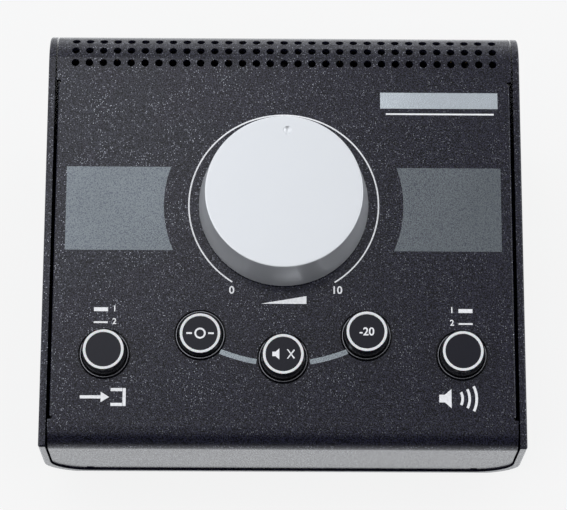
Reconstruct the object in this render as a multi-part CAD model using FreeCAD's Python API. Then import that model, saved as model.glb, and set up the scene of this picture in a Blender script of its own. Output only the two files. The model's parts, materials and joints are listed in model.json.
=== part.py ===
import FreeCAD, Part
import math
import os

from FreeCAD import Placement, Rotation, Vector

# Studio monitor controller: a sloped desktop box with one large volume knob and five push buttons.
# A bent wrap (front face, panel, perforated rear bend) nests in a U-shaped tub (floor and cheeks).
# Millimetres and degrees. +X to the right, +Y to the rear, +Z up, feet on Z = 0.
# Pieces of the panel are drawn in the panel's own frame: x to the right, y up the slope,
# z out of the panel, with the volume axis as its origin.

# ---------------------------------------------------------------- driving dimensions
# The box
body_width = 138.0
panel_slope = 15.0
panel_front = 71.0            # volume axis to the nose, along the panel
panel_rear = 44.0             # volume axis to where the rear bend starts
front_height = 34.7           # nose to underside, along the front face
foot_height = 2.5
nose_bend = 5.5               # outer radius where the panel turns down into the front face
cheek_corner = 0.8            # the cheeks' outline at the nose
cheek_stand = 0.5             # how far the tub stands ahead of the front face
rear_bend = 10.5
tub_sheet = 2.0
tub_bend = 13.0
shell_sheet = 1.5
side_gap = 0.5                # wrap edge to cheek
seat_gap = 0.2                # sheet laid on sheet
touching = 0.01               # nearer than this counts as touching
cheek_edge_round = 0.6
floor_corner = 1.0            # the outline's lower corners

# The wrap
flange_bend = 1.8             # outer radius where the front face turns under the box
return_flange = 12.0
return_flange_inset = 13.0    # body side to the relief notch that ends the return flange
notch_width = 1.9
notch_height = 1.2
side_flange_front = 62.4
side_flange_rear = 37.0
side_flange_depth = 9.0
side_flange_bend = 0.7
side_flange_inset = 0.4       # how far a side flange stands inside the panel's full width
side_relief = 0.6             # radius of the relief slot at each end of a side flange
relief_inset = 0.35           # the slot's rounded end, inside the flange's outer face
relief_offset = 0.45          # the slot's centre line beyond the flange's end
lip_drop = 6.6

# Vent holes
vent_rows = 3
vent_pitch = 4.08
vent_margin = 4.0             # clear sheet kept beside the outer holes' centres
vent_radius = 1.15
first_vent_row = 43.43        # volume axis to the row on the flat, along the panel

# Rear panel and the sockets in it
rear_panel_overlap = 5.5      # rear panel behind the wrap's lip
jack_columns = 4
jack_pitch = 33.0
jack_low_row = 17.0
jack_row_pitch = 20.0
plug_bore = 3.25
jack_thread = 4.75
bushing_stand = 3.6           # socket sleeve beyond the rear panel
bushing_seat = 4.0            # socket sleeve inside the housing
jack_nut_flats = 12.7
jack_nut_height = 2.0
jack_washer_radius = 7.0
jack_washer_thick = 0.8
jack_half_width = 7.6
jack_half_height = 7.8
jack_depth = 21.0
jack_chamber = 3.6
jack_back_wall = 1.5
contact_thick = 0.5
contact_half_width = 2.0
contact_window = 0.4
contact_stand = 5.4
contact_tip = 3.95
contact_pin = 2.4
contact_bend_at = 12.0
contact_reach = 9.0
contact_bend = 2.0
mini_bore = 1.8
mini_thread = 3.0
mini_nut_radius = 4.2
mini_nut_height = 1.8
mini_stand = 3.0
mini_seat = 3.5
mini_chamber = 2.0
mini_half_width = 5.5
mini_half_height = 5.0

# Circuit boards
board_thick = 1.6
board_drop = 14.0             # panel face to the upper side of the control board
board_side_gap = 6.0          # cheek to the boards' side edges
board_front = 58.0
board_rear = 22.0
board_corner = 3.0
board_hole_inset = 4.0
standoff_radius = 2.8
jack_board_low = 7.5
jack_board_high = 47.0
header_half_width = 11.0
header_half_depth = 3.0
header_height = 8.0
header_at = 5.0
low_header_level = 14.0
ribbon_half_width = 9.0
ribbon_thick = 0.9
ribbon_bend = 5.0
resistor_count = 8
resistor_pitch = 5.5
resistor_half_length = 1.6
resistor_half_width = 0.8
resistor_height = 0.6
resistor_row = 30.0

# Volume control
knob_rest = -3.0              # turn of the resting knob from twelve o'clock, clockwise below zero
knob_base_radius = 24.5
knob_top_radius = 22.5
knob_gap = 0.6
knob_top = 13.65
knob_edge_round = 0.3
knob_wall = 2.2
knob_crown = 2.4
knob_boss_radius = 7.5
knob_boss_low = 6.6
knob_ribs = 6
rib_thick = 1.2
rib_low = 7.4
rib_root = 0.5                # how far a rib runs into the boss, the wall and the crown
dimple_at = 18.2
dimple_radius = 1.3
dimple_depth = 0.55
bush_radius = 5.0
shaft_radius = 3.0
shaft_flat = 2.3
shaft_top = 11.0
shaft_low = -9.0
shaft_fit = 0.06
bush_fit = 0.03
pot_can_radius = 8.5
pot_well = 10.5
pot_well_gap = 0.35
terminal_half_width = 7.5
terminal_reach = 13.5
pot_thread = 3.5
pot_sleeve_top = 5.5
pot_hole_gap = 0.1
pot_washer_radius = 6.0
pot_washer_thick = 0.6
pot_nut_flats = 10.0
pot_nut_height = 2.2

# Push buttons
outer_button_inset = 18.15    # body side to the outer buttons' centres
outer_button_row = -44.5
inner_button_side = 23.65
inner_button_row = -38.9
middle_button_row = -45.6
latch_depth = 2.9             # how far a latched button stands pressed in
press_travel = 3.5
button_stand = 5.35           # crown of a released button above the panel
cap_radius = 6.3
cap_crown_radius = 5.92
cap_shoulder = 1.2
cap_height = 7.2
cap_wall = 1.1
cap_crown = 1.9
cap_boss_radius = 3.2
cap_boss_height = 3.4
ring_outer = 5.78
ring_inner = 5.02
ring_depth = 0.8
crown_dish = 0.25
bezel_gap = 0.3               # cap to bezel
bezel_wall = 0.62
bezel_fit = 0.25              # bezel to the hole in the panel
bezel_height = 0.35           # lip above the panel
bezel_ease = 0.15
bezel_flange_radius = 8.2     # flange under the panel
bezel_flange_thick = 1.0
plunger_half = 1.65
plunger_gap = 0.3
plunger_inset = 1.2
switch_half = 4.25
switch_height = 7.8
switch_floor = 0.4

# Feet and fasteners
foot_radius = 6.5
foot_taper = 0.6
foot_recess = 3.4
foot_web = 1.0                # rubber left above the screw head
foot_side_inset = 25.5
foot_inset = 9.0              # foot centre behind the front edge or ahead of the rear edge
thread_radius = 1.5
screw_head_radius = 2.8
screw_head_edge = 0.45        # share of a head's height that is its upright edge
screw_head_top = 0.72         # share of a head's radius that its flat top takes
screw_head_height = 1.6
foot_screw_head = 1.2
screw_reach = 3.0             # thread beyond the last sheet
base_screw_inset = 7.0
foot_to_screw = 10.5          # across, from a foot's centre to the base screw beside it
lip_screw_inset = 14.0
lip_screw_above_edge = 3.3
screw_clearance = 0.1

# ---------------------------------------------------------------- sizes worked out
slope = math.radians(panel_slope)
half_width = body_width / 2
cheek_inner = half_width - tub_sheet
wrap_half = cheek_inner - side_gap
flange_half = wrap_half - side_flange_inset
return_flange_half = half_width - return_flange_inset
vent_columns = 2 * int((wrap_half - vent_margin) / vent_pitch) + 1
foot_side = half_width - foot_side_inset
base_screw_side = foot_side - foot_to_screw
lip_screw_side = half_width - lip_screw_inset
rear_corner = panel_rear + rear_bend * math.tan((slope + math.pi / 2) / 2)
panel_back = rear_corner * math.cos(slope)
sheet_step = shell_sheet + seat_gap
cheek_front = panel_front + cheek_stand
nose_reach = cheek_corner * (math.cos(slope) + math.sin(slope) - 1) - cheek_front * math.cos(slope)
bushing_reach = panel_back - sheet_step + bushing_stand
axis_y = -(nose_reach + bushing_reach) / 2
axis_z = foot_height + front_height * math.cos(slope) + panel_front * math.sin(slope)
rear_y = axis_y + panel_back
rear_face_y = rear_y - sheet_step
floor_top = foot_height + tub_sheet
fold_level = floor_top + seat_gap
bend_centre_z = axis_z + panel_rear * math.sin(slope) - rear_bend * math.cos(slope)
lip_end = bend_centre_z - lip_drop
rear_panel_top = lip_end + rear_panel_overlap
board_half_width = cheek_inner - board_side_gap
board_hole_side = board_half_width - board_hole_inset
board_top = -board_drop
board_low = -board_drop - board_thick
housing_back = -shell_sheet - jack_depth
jack_board_back = rear_face_y + housing_back
outer_button_side = half_width - outer_button_inset
bezel_bore = cap_radius + bezel_gap
bezel_outer = bezel_bore + bezel_wall
button_hole = bezel_outer + bezel_fit

# Name, across, up the slope, and how far the resting button stands pressed in
buttons = (
    ("source", -outer_button_side, outer_button_row, 0.0),
    ("mono", -inner_button_side, inner_button_row, latch_depth),
    ("mute", 0.0, middle_button_row, 0.0),
    ("dim", inner_button_side, inner_button_row, 0.0),
    ("monitor", outer_button_side, outer_button_row, 0.0),
)

panel_frame = Placement(Vector(0, axis_y, axis_z), Rotation(Vector(1, 0, 0), panel_slope))
outward = Rotation(Vector(1, 0, 0), -90)
downward = Rotation(Vector(1, 0, 0), 180)


# ---------------------------------------------------------------- shapes
def placed(shape, placement):
    """A copy of the shape carried into another frame."""
    copy = shape.copy()
    copy.Placement = placement.multiply(copy.Placement)
    return copy


def on_panel(shape, across=0.0, up=0.0):
    """A shape drawn about its own axis, set on the panel."""
    return placed(shape, panel_frame.multiply(Placement(Vector(across, up, 0), Rotation())))


def at_rear(shape, across, level):
    """A shape drawn about its own axis, set on the rear panel's outer face."""
    return placed(shape, Placement(Vector(across, rear_face_y, level), outward))


def front_at(level):
    """How far forward the front face reaches at a height."""
    nose_y = axis_y - panel_front * math.cos(slope)
    nose_z = axis_z - panel_front * math.sin(slope)
    return nose_y + (nose_z - level) * math.tan(slope)


def rod(radius, low, high):
    return Part.makeCylinder(radius, high - low, Vector(0, 0, low))


def tube(outer, inner, low, high):
    return rod(outer, low, high).cut(rod(inner, low, high))


def block(left, right, front, back, low, high):
    return Part.makeBox(right - left, back - front, high - low, Vector(left, front, low))


def turned(profile):
    """A solid turned about Z from its corners, each a radius and a height."""
    corners = [Vector(radius, 0, height) for radius, height in profile]
    face = Part.Face(Part.makePolygon(corners + corners[:1]))
    return face.revolve(Vector(0, 0, 0), Vector(0, 0, 1), 360)


def hex_nut(flats, bore, low, high):
    corners = []
    for corner in range(6):
        angle = math.radians(60 * corner + 30)
        reach = flats / 2 / math.cos(math.radians(30))
        corners.append(Vector(reach * math.cos(angle), reach * math.sin(angle), low))
    prism = Part.Face(Part.makePolygon(corners + corners[:1])).extrude(Vector(0, 0, high - low))
    return prism.cut(rod(bore, low, high))


def pan_screw(length, head_height):
    """A pan-head screw with its head above Z = 0 and its thread below."""
    return turned((
        (0, -length), (thread_radius, -length), (thread_radius, 0), (screw_head_radius, 0),
        (screw_head_radius, head_height * screw_head_edge),
        (screw_head_radius * screw_head_top, head_height),
        (0, head_height),
    ))


def ways_of(points):
    return [(after - before).normalize() for before, after in zip(points, points[1:])]


def moved_right(points, distance):
    """An open line in the YZ plane, moved to the right of its own direction."""
    sides = [Vector(0, way.z, -way.y) for way in ways_of(points)]
    sides = sides[:1] + sides + sides[-1:]
    moved = []
    for point, before, after in zip(points, sides, sides[1:]):
        moved.append(point + (before + after) * (distance / (1 + before.dot(after))))
    return moved


def rounded_run(points, radii):
    """Straight edges joined by tangent arcs, one radius for each inner corner."""
    edges = []
    start = points[0]
    for before, corner, after, radius in zip(points, points[1:], points[2:], radii):
        back = (before - corner).normalize()
        ahead = (after - corner).normalize()
        half = back.getAngle(ahead) / 2
        reach = radius / math.tan(half)
        into = corner + back * reach
        out_of = corner + ahead * reach
        middle = corner + (back + ahead).normalize() * (radius / math.sin(half) - radius)
        edges.append(Part.LineSegment(start, into).toShape())
        edges.append(Part.Arc(into, middle, out_of).toShape())
        start = out_of
    edges.append(Part.LineSegment(start, points[-1]).toShape())
    return edges


def prism_of(edges, left, right):
    """The solid between X = left and X = right inside a closed run of edges."""
    face = Part.Face(Part.Wire(Part.__sortEdges__(edges)))
    face.translate(Vector(left, 0, 0))
    return face.extrude(Vector(right - left, 0, 0))


def bent_sheet(corners, radii, thickness, left, right):
    """A folded sheet: corners and radii of one face, with the thickness to the right of it."""
    near = [Vector(0, y, z) for y, z in corners]
    far = moved_right(near, thickness)
    ways = ways_of(near)
    far_radii = []
    for radius, before, after in zip(radii, ways, ways[1:]):
        far_radii.append(radius + math.copysign(thickness, before.cross(after).x))
    edges = rounded_run(near, radii) + rounded_run(far, far_radii)
    edges.append(Part.LineSegment(near[0], far[0]).toShape())
    edges.append(Part.LineSegment(near[-1], far[-1]).toShape())
    return prism_of(edges, left, right)


def mirrored(shape):
    return shape.mirror(Vector(0, 0, 0), Vector(1, 0, 0))


def both_sides(shape):
    return [shape, mirrored(shape)]


# ---------------------------------------------------------------- wrap, tub and rear panel
def corner_waste(front, back):
    """What the tub's rounded lower corners leave no room for, on both sides."""
    centre_x = half_width - tub_bend
    centre_z = foot_height + tub_bend
    room = tub_bend - tub_sheet - side_gap
    waste = block(centre_x, half_width, front, back, 0, centre_z)
    bend = Part.makeCylinder(room, back - front, Vector(centre_x, front, centre_z), Vector(0, 1, 0))
    return both_sides(waste.cut(bend))


def side_flanges():
    """The flanges folded down along the panel's two edges, between the reliefs."""
    flange = block(flange_half - shell_sheet, flange_half, -side_flange_front, side_flange_rear,
                   -side_flange_depth, 0)
    return [on_panel(side) for side in both_sides(flange)]


def side_reliefs():
    """What the panel's edges give up for the flanges, with a round-ended slot at each end."""
    front = -side_flange_front - relief_offset
    rear = side_flange_rear + relief_offset
    slot_end = flange_half - relief_inset
    cuts = both_sides(block(flange_half, half_width, front, rear, -side_flange_depth, shell_sheet))
    for centre in (front, rear):
        slot = block(slot_end, half_width, centre - side_relief, centre + side_relief,
                     -side_flange_depth, shell_sheet)
        end = rod(side_relief, -side_flange_depth, shell_sheet)
        end.translate(Vector(slot_end, centre, 0))
        cuts += both_sides(slot.fuse(end))
    return [on_panel(cut) for cut in cuts]


def return_flange_cuts():
    """A notch at each end of the return flange, and the flange beyond the notch."""
    inner_face = shell_sheet - panel_front
    far = inner_face + return_flange + flange_bend
    low = -front_height
    notch = block(return_flange_half - notch_width / 2, return_flange_half + notch_width / 2,
                  -panel_front - shell_sheet, far, low, low + tub_sheet + seat_gap
                  + flange_bend + notch_height)
    beyond = block(return_flange_half, half_width, inner_face, far, low - shell_sheet,
                   low + tub_sheet + seat_gap + flange_bend + shell_sheet)
    return [on_panel(side) for cut in (notch, beyond) for side in both_sides(cut)]


def vent_holes():
    """Rows of holes square to the sheet: the first on the flat, the others round the rear bend."""
    holes = []
    for row in range(vent_rows):
        along = first_vent_row + row * vent_pitch
        turn = max(0.0, (along - panel_rear) / rear_bend)
        flat = min(along, panel_rear)
        centre = Vector(0, flat + rear_bend * math.sin(turn), rear_bend * (math.cos(turn) - 1))
        aim = Rotation(Vector(1, 0, 0), -math.degrees(turn))
        for column in range(vent_columns):
            across = (column - (vent_columns - 1) / 2) * vent_pitch
            drill = rod(vent_radius, -2 * shell_sheet, shell_sheet)
            holes.append(on_panel(placed(drill, Placement(centre + Vector(across, 0, 0), aim))))
    return holes


def base_screw_spots():
    """Where the screws pass up through the floor, as a front row and a rear row."""
    front_y = front_at(fold_level) + base_screw_inset
    rear_row_y = rear_face_y - base_screw_inset
    front_row = [(-base_screw_side, front_y), (base_screw_side, front_y)]
    rear_row = [(-base_screw_side, rear_row_y), (base_screw_side, rear_row_y)]
    return front_row, rear_row


def floor_drills(spots, radius):
    drills = []
    for x, y in spots:
        drills.append(placed(rod(radius, 0, fold_level + 2 * shell_sheet),
                             Placement(Vector(x, y, 0), Rotation())))
    return drills


def lip_screw_spots():
    level = lip_end + lip_screw_above_edge
    return [(x, level) for x in (-lip_screw_side, 0.0, lip_screw_side)]


def lip_drills(radius):
    drill = rod(radius, -2 * sheet_step, 2 * sheet_step)
    return [at_rear(drill, x, z) for x, z in lip_screw_spots()]


def is_side_fold(edge):
    """The outer edge where a side flange meets the panel."""
    middle = panel_frame.inverse().multVec(edge.CenterOfMass)
    on_corner = abs(middle.z) < touching and abs(abs(middle.x) - flange_half) < touching
    centre_of_flange = (side_flange_rear - side_flange_front) / 2
    return on_corner and abs(middle.y - centre_of_flange) < 1.0


def make_top_shell():
    corners = (
        (front_at(fold_level) + return_flange, fold_level),
        (front_at(fold_level), fold_level),
        (axis_y - panel_front * math.cos(slope), axis_z - panel_front * math.sin(slope)),
        (rear_y, axis_z + rear_corner * math.sin(slope)),
        (rear_y, lip_end),
    )
    radii = (flange_bend, nose_bend, rear_bend)
    shell = bent_sheet(corners, radii, shell_sheet, -wrap_half, wrap_half)
    shell = shell.cut(side_reliefs()).fuse(side_flanges()).removeSplitter()
    shell = shell.makeFillet(side_flange_bend, [edge for edge in shell.Edges if is_side_fold(edge)])
    front = front_at(fold_level)
    shell = shell.cut(corner_waste(front - tub_bend, front + tub_bend) + return_flange_cuts())
    holes = [on_panel(rod(button_hole, -tub_bend, tub_bend), across, up)
             for name, across, up, pressed in buttons]
    holes.append(on_panel(rod(pot_thread + pot_hole_gap, -tub_bend, tub_bend)))
    holes += floor_drills(base_screw_spots()[0], thread_radius)
    holes += floor_drills(foot_spots(), thread_radius + screw_clearance)
    holes += lip_drills(thread_radius + screw_clearance)
    return shell.cut(holes + vent_holes())


def outline_prism():
    """The box's side outline over its whole width, with both ends' edges eased."""
    nose = (axis_y - cheek_front * math.cos(slope), axis_z - cheek_front * math.sin(slope))
    low_front = (front_at(foot_height) - cheek_stand / math.cos(slope), foot_height)
    top_rear = (rear_y, axis_z + rear_corner * math.sin(slope))
    middle = (0.0, foot_height)
    corners = (middle, low_front, nose, top_rear, (rear_y, foot_height), middle)
    points = [Vector(0, y, z) for y, z in corners]
    corner_radii = (floor_corner, cheek_corner, rear_bend, floor_corner)
    prism = prism_of(rounded_run(points, corner_radii), -half_width, half_width)
    ends = [edge for edge in prism.Edges if edge.BoundBox.XLength < touching]
    return prism.makeFillet(cheek_edge_round, ends)


def make_base_tub():
    rim = axis_z + rear_corner
    corners = ((half_width, rim), (half_width, foot_height), (-half_width, foot_height),
               (-half_width, rim))
    depth = 2 * rear_corner
    channel = bent_sheet(corners, (tub_bend, tub_bend), tub_sheet, -depth, depth)
    channel = placed(channel, Placement(Vector(0, 0, 0), Rotation(Vector(0, 0, 1), 90)))
    tub = channel.common(outline_prism())
    holes = floor_drills(foot_spots(), thread_radius)
    front_row, rear_row = base_screw_spots()
    holes += floor_drills(front_row + rear_row, thread_radius + screw_clearance)
    return tub.cut(holes)


def jack_spots():
    """Across and level of each of the large sockets."""
    spots = []
    for row in range(2):
        for column in range(jack_columns):
            across = (column - (jack_columns - 1) / 2) * jack_pitch
            spots.append((across, jack_low_row + row * jack_row_pitch))
    return spots


mini_spot = (jack_pitch, jack_low_row + jack_row_pitch / 2)


def make_rear_panel():
    flange_start = rear_face_y - return_flange
    corners = ((rear_face_y, rear_panel_top), (rear_face_y, fold_level), (flange_start, fold_level))
    panel = bent_sheet(corners, (flange_bend,), shell_sheet, -wrap_half, wrap_half)
    panel = panel.cut(corner_waste(flange_start - tub_bend, rear_y))
    holes = [at_rear(rod(jack_thread + screw_clearance, -2 * shell_sheet, shell_sheet), x, z)
             for x, z in jack_spots()]
    holes.append(at_rear(rod(mini_thread + screw_clearance, -2 * shell_sheet, shell_sheet),
                         *mini_spot))
    holes += lip_drills(thread_radius)
    holes += floor_drills(base_screw_spots()[1], thread_radius)
    holes += floor_drills(foot_spots(), thread_radius + screw_clearance)
    return panel.cut(holes)


# ---------------------------------------------------------------- feet and screws
def foot_spots():
    front_y = front_at(foot_height) + foot_inset
    rear_row_y = rear_y - foot_inset
    return [(x, y) for y in (front_y, rear_row_y) for x in (-foot_side, foot_side)]


def make_feet():
    foot = turned((
        (thread_radius, foot_height), (foot_radius, foot_height), (foot_radius - foot_taper, 0),
        (foot_recess, 0), (foot_recess, foot_height - foot_web),
        (thread_radius, foot_height - foot_web),
    ))
    return [placed(foot, Placement(Vector(x, y, 0), Rotation())) for x, y in foot_spots()]


def make_foot_screws():
    screw = pan_screw(foot_web + tub_sheet + screw_reach, foot_screw_head)
    level = foot_height - foot_web
    return [placed(screw, Placement(Vector(x, y, level), downward)) for x, y in foot_spots()]


def make_base_screws():
    screw = pan_screw(tub_sheet + seat_gap + shell_sheet + screw_reach, screw_head_height)
    front_row, rear_row = base_screw_spots()
    return [placed(screw, Placement(Vector(x, y, foot_height), downward))
            for x, y in front_row + rear_row]


def make_lip_screws():
    screw = pan_screw(sheet_step + shell_sheet + screw_reach, screw_head_height)
    screw.translate(Vector(0, 0, sheet_step))
    return [at_rear(screw, x, z) for x, z in lip_screw_spots()]


# ---------------------------------------------------------------- sockets
def contact_leaf():
    """One spring leaf of a socket: a pin through the board, a straight run and a raised tip."""
    pin_end = housing_back - board_thick - contact_pin
    corners = ((contact_stand, pin_end), (contact_stand, -contact_bend_at),
               (contact_tip, -contact_reach))
    return bent_sheet(corners, (contact_bend,), contact_thick,
                      -contact_half_width, contact_half_width)


def contact_pair():
    leaf = contact_leaf()
    return [leaf, leaf.mirror(Vector(0, 0, 0), Vector(0, 1, 0))]


def make_jack_contacts():
    return [at_rear(leaf, x, z) for x, z in jack_spots() for leaf in contact_pair()]


def make_jack_housings():
    inner = -shell_sheet
    body = block(-jack_half_width, jack_half_width, -jack_half_height, jack_half_height,
                 housing_back, inner)
    body = body.cut(rod(jack_thread, inner - bushing_seat, inner))
    body = body.cut(rod(jack_chamber, housing_back + jack_back_wall, inner))
    half = contact_half_width + contact_window
    window = block(-half, half, -jack_half_height, jack_half_height,
                   housing_back + jack_back_wall, contact_window - contact_reach)
    body = body.cut(window).cut(contact_pair())
    return [at_rear(body, x, z) for x, z in jack_spots()]


def make_jack_bushings():
    sleeve = tube(jack_thread, plug_bore, -shell_sheet - bushing_seat, bushing_stand)
    return [at_rear(sleeve, x, z) for x, z in jack_spots()]


def make_jack_washers():
    washer = tube(jack_washer_radius, jack_thread, 0, jack_washer_thick)
    return [at_rear(washer, x, z) for x, z in jack_spots()]


def make_jack_nuts():
    nut = hex_nut(jack_nut_flats, jack_thread, jack_washer_thick, jack_washer_thick + jack_nut_height)
    return [at_rear(nut, x, z) for x, z in jack_spots()]


def make_mini_jack_housing():
    inner = -shell_sheet
    body = block(-mini_half_width, mini_half_width, -mini_half_height, mini_half_height,
                 housing_back, inner)
    body = body.cut(rod(mini_thread, inner - mini_seat, inner))
    body = body.cut(rod(mini_chamber, housing_back + jack_back_wall, inner))
    return [at_rear(body, *mini_spot)]


def make_mini_jack_bushing():
    return [at_rear(tube(mini_thread, mini_bore, -shell_sheet - mini_seat, mini_stand), *mini_spot)]


def make_mini_jack_nut():
    return [at_rear(tube(mini_nut_radius, mini_thread, 0, mini_nut_height), *mini_spot)]


# ---------------------------------------------------------------- boards and ribbon
def board_holes():
    rows = (board_hole_inset - board_front, board_rear - board_hole_inset)
    return [(x, y) for y in rows for x in (-board_hole_side, board_hole_side)]


def make_control_board():
    board = block(-board_half_width, board_half_width, -board_front, board_rear,
                  board_low, board_top)
    upright = [edge for edge in board.Edges if edge.BoundBox.ZLength > board_thick / 2]
    board = board.makeFillet(board_corner, upright)
    drill = rod(thread_radius + screw_clearance, board_low - board_thick, board_top + board_thick)
    drills = [placed(drill, Placement(Vector(x, y, 0), Rotation())) for x, y in board_holes()]
    return [on_panel(board.cut(drills))]


def make_board_standoffs():
    post = tube(standoff_radius, thread_radius, board_top, -shell_sheet)
    return [on_panel(post, x, y) for x, y in board_holes()]


def make_board_screws():
    screw = pan_screw(board_thick + 2 * screw_reach, screw_head_height)
    screw = placed(screw, Placement(Vector(0, 0, board_low), downward))
    return [on_panel(screw, x, y) for x, y in board_holes()]


def make_jack_board():
    board = block(-board_half_width, board_half_width, jack_board_back - board_thick,
                  jack_board_back, jack_board_low, jack_board_high)
    return [board.cut(make_jack_contacts())]


def ribbon_ends():
    """Where the ribbon leaves each header, as heights and depths of the side view."""
    high = panel_frame.multVec(Vector(0, header_at, board_low - header_height))
    low_y = jack_board_back - board_thick - header_height
    return (high.y, high.z), (low_y, low_header_level)


def make_ribbon_cable():
    start, end = ribbon_ends()
    fall = start[1] - end[1]
    corner = (start[0] + fall * math.tan(slope), end[1])
    points = [Vector(0, y, z) for y, z in (start, corner, end)]
    face_line = moved_right(points, -ribbon_thick / 2)
    corners = [(point.y, point.z) for point in face_line]
    return [bent_sheet(corners, (ribbon_bend,), ribbon_thick,
                       -ribbon_half_width, ribbon_half_width)]


def make_ribbon_headers():
    upper = block(-header_half_width, header_half_width, header_at - header_half_depth,
                  header_at + header_half_depth, board_low - header_height, board_low)
    back = jack_board_back - board_thick
    lower = block(-header_half_width, header_half_width, back - header_height, back,
                  low_header_level - header_half_depth, low_header_level + header_half_depth)
    return [on_panel(upper), lower]


def make_attenuator_resistors():
    chips = []
    for index in range(resistor_count):
        across = (index - (resistor_count - 1) / 2) * resistor_pitch
        chips.append(block(across - resistor_half_width, across + resistor_half_width,
                           -resistor_row - resistor_half_length,
                           -resistor_row + resistor_half_length,
                           board_low - resistor_height, board_low))
    return [on_panel(chip) for chip in chips]


# ---------------------------------------------------------------- volume control
def flatted(radius, flat, low, high):
    """A rod with one flat along it."""
    side = 2 * radius
    return rod(radius, low, high).cut(block(-side, side, flat, side, low, high))


def knob_turned(shape):
    """A shape drawn with its mark at twelve o'clock, turned to where the knob stands."""
    return on_panel(placed(shape, Placement(Vector(0, 0, 0), Rotation(Vector(0, 0, 1), knob_rest))))


def make_volume_knob():
    crown_under = knob_top - knob_crown
    rise = knob_top - knob_gap
    lean = (knob_base_radius - knob_top_radius) / rise
    inner_top = knob_base_radius - knob_wall - lean * (crown_under - knob_gap)
    knob = turned((
        (bush_radius, crown_under), (bush_radius, knob_boss_low), (knob_boss_radius, knob_boss_low),
        (knob_boss_radius, crown_under), (inner_top, crown_under),
        (knob_base_radius - knob_wall, knob_gap), (knob_base_radius, knob_gap),
        (knob_top_radius, knob_top), (0, knob_top), (0, crown_under),
    ))
    rim = [edge for edge in knob.Edges if edge.BoundBox.ZLength < touching
           and abs(edge.BoundBox.Center.z - knob_top) < touching]
    knob = knob.makeFillet(knob_edge_round, rim)
    ribs = []
    for index in range(knob_ribs):
        rib = block(knob_boss_radius - rib_root, inner_top + rib_root, -rib_thick / 2,
                    rib_thick / 2, rib_low, crown_under + rib_root)
        rib.rotate(Vector(0, 0, 0), Vector(0, 0, 1), 360 / knob_ribs * index)
        ribs.append(rib)
    knob = knob.fuse(ribs)
    ball = (dimple_radius ** 2 + dimple_depth ** 2) / (2 * dimple_depth)
    knob = knob.cut(Part.makeSphere(ball, Vector(0, dimple_at, knob_top - dimple_depth + ball)))
    return [knob_turned(knob)]


def make_knob_bush():
    bush = rod(bush_radius, knob_boss_low, knob_top - knob_crown)
    bore = flatted(shaft_radius + bush_fit, shaft_flat + bush_fit, knob_boss_low, shaft_top)
    return [knob_turned(bush.cut(bore))]


def make_pot_shaft():
    round_part = rod(shaft_radius, shaft_low, pot_sleeve_top)
    return [knob_turned(round_part.fuse(flatted(shaft_radius, shaft_flat, pot_sleeve_top, shaft_top)))]


def make_pot_body():
    can = rod(pot_can_radius, board_top, -shell_sheet)
    terminals = block(-terminal_half_width, terminal_half_width, -terminal_reach, 0,
                      board_top, board_top / 2)
    well = rod(shaft_radius + pot_well_gap, -shell_sheet - pot_well, -shell_sheet)
    return [on_panel(can.fuse(terminals).cut(well))]


def make_pot_bushing():
    return [on_panel(tube(pot_thread, shaft_radius + shaft_fit, -shell_sheet, pot_sleeve_top))]


def make_pot_washer():
    return [on_panel(tube(pot_washer_radius, pot_thread, 0, pot_washer_thick))]


def make_pot_nut():
    return [on_panel(hex_nut(pot_nut_flats, pot_thread, pot_washer_thick,
                             pot_washer_thick + pot_nut_height))]


# ---------------------------------------------------------------- push buttons
def make_cap(top):
    """A cap with its crown at the given height, a groove for its ring and a socket below."""
    base = top - cap_height
    under = top - cap_crown
    return turned((
        (0, under), (0, top - crown_dish), (ring_inner, top - crown_dish),
        (ring_inner, top - ring_depth), (ring_outer, top - ring_depth), (ring_outer, top),
        (cap_crown_radius, top - crown_dish / 2), (cap_radius, top - cap_shoulder),
        (cap_radius, base), (cap_radius - cap_wall, base), (cap_radius - cap_wall, under),
        (cap_boss_radius, under), (cap_boss_radius, under - cap_boss_height),
        (0, under - cap_boss_height),
    )).cut(plunger_bar(under + plunger_inset - cap_crown, under - cap_boss_height))


def plunger_bar(top, low):
    return block(-plunger_half, plunger_half, -plunger_half, plunger_half, low, top)


def make_button(across, up, pressed):
    """Cap, ring and plunger of one button."""
    top = button_stand - pressed
    socket_top = top - 2 * cap_crown + plunger_inset
    lowest = board_top + switch_floor + plunger_gap + press_travel - pressed
    cap = make_cap(top)
    ring = tube(ring_outer, ring_inner, top - ring_depth, top)
    plunger = plunger_bar(socket_top, lowest)
    return [on_panel(piece, across, up) for piece in (cap, ring, plunger)]


def make_switch_bodies():
    body = block(-switch_half, switch_half, -switch_half, switch_half,
                 board_top, board_top + switch_height)
    half = plunger_half + plunger_gap
    well = block(-half, half, -half, half, board_top + switch_floor, board_top + switch_height)
    return [on_panel(body.cut(well), across, up) for name, across, up, pressed in buttons]


def make_button_bezels():
    """Collars pushed up through the panel from below, each with its flange under the sheet."""
    seat = -shell_sheet
    shoulder = bezel_height - bezel_ease
    bezel = turned((
        (bezel_bore, seat - bezel_flange_thick), (bezel_flange_radius, seat - bezel_flange_thick),
        (bezel_flange_radius, seat), (bezel_outer, seat), (bezel_outer, shoulder),
        (bezel_outer - bezel_ease, bezel_height), (bezel_bore + bezel_ease, bezel_height),
        (bezel_bore, shoulder),
    ))
    return [on_panel(bezel, across, up) for name, across, up, pressed in buttons]


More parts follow.
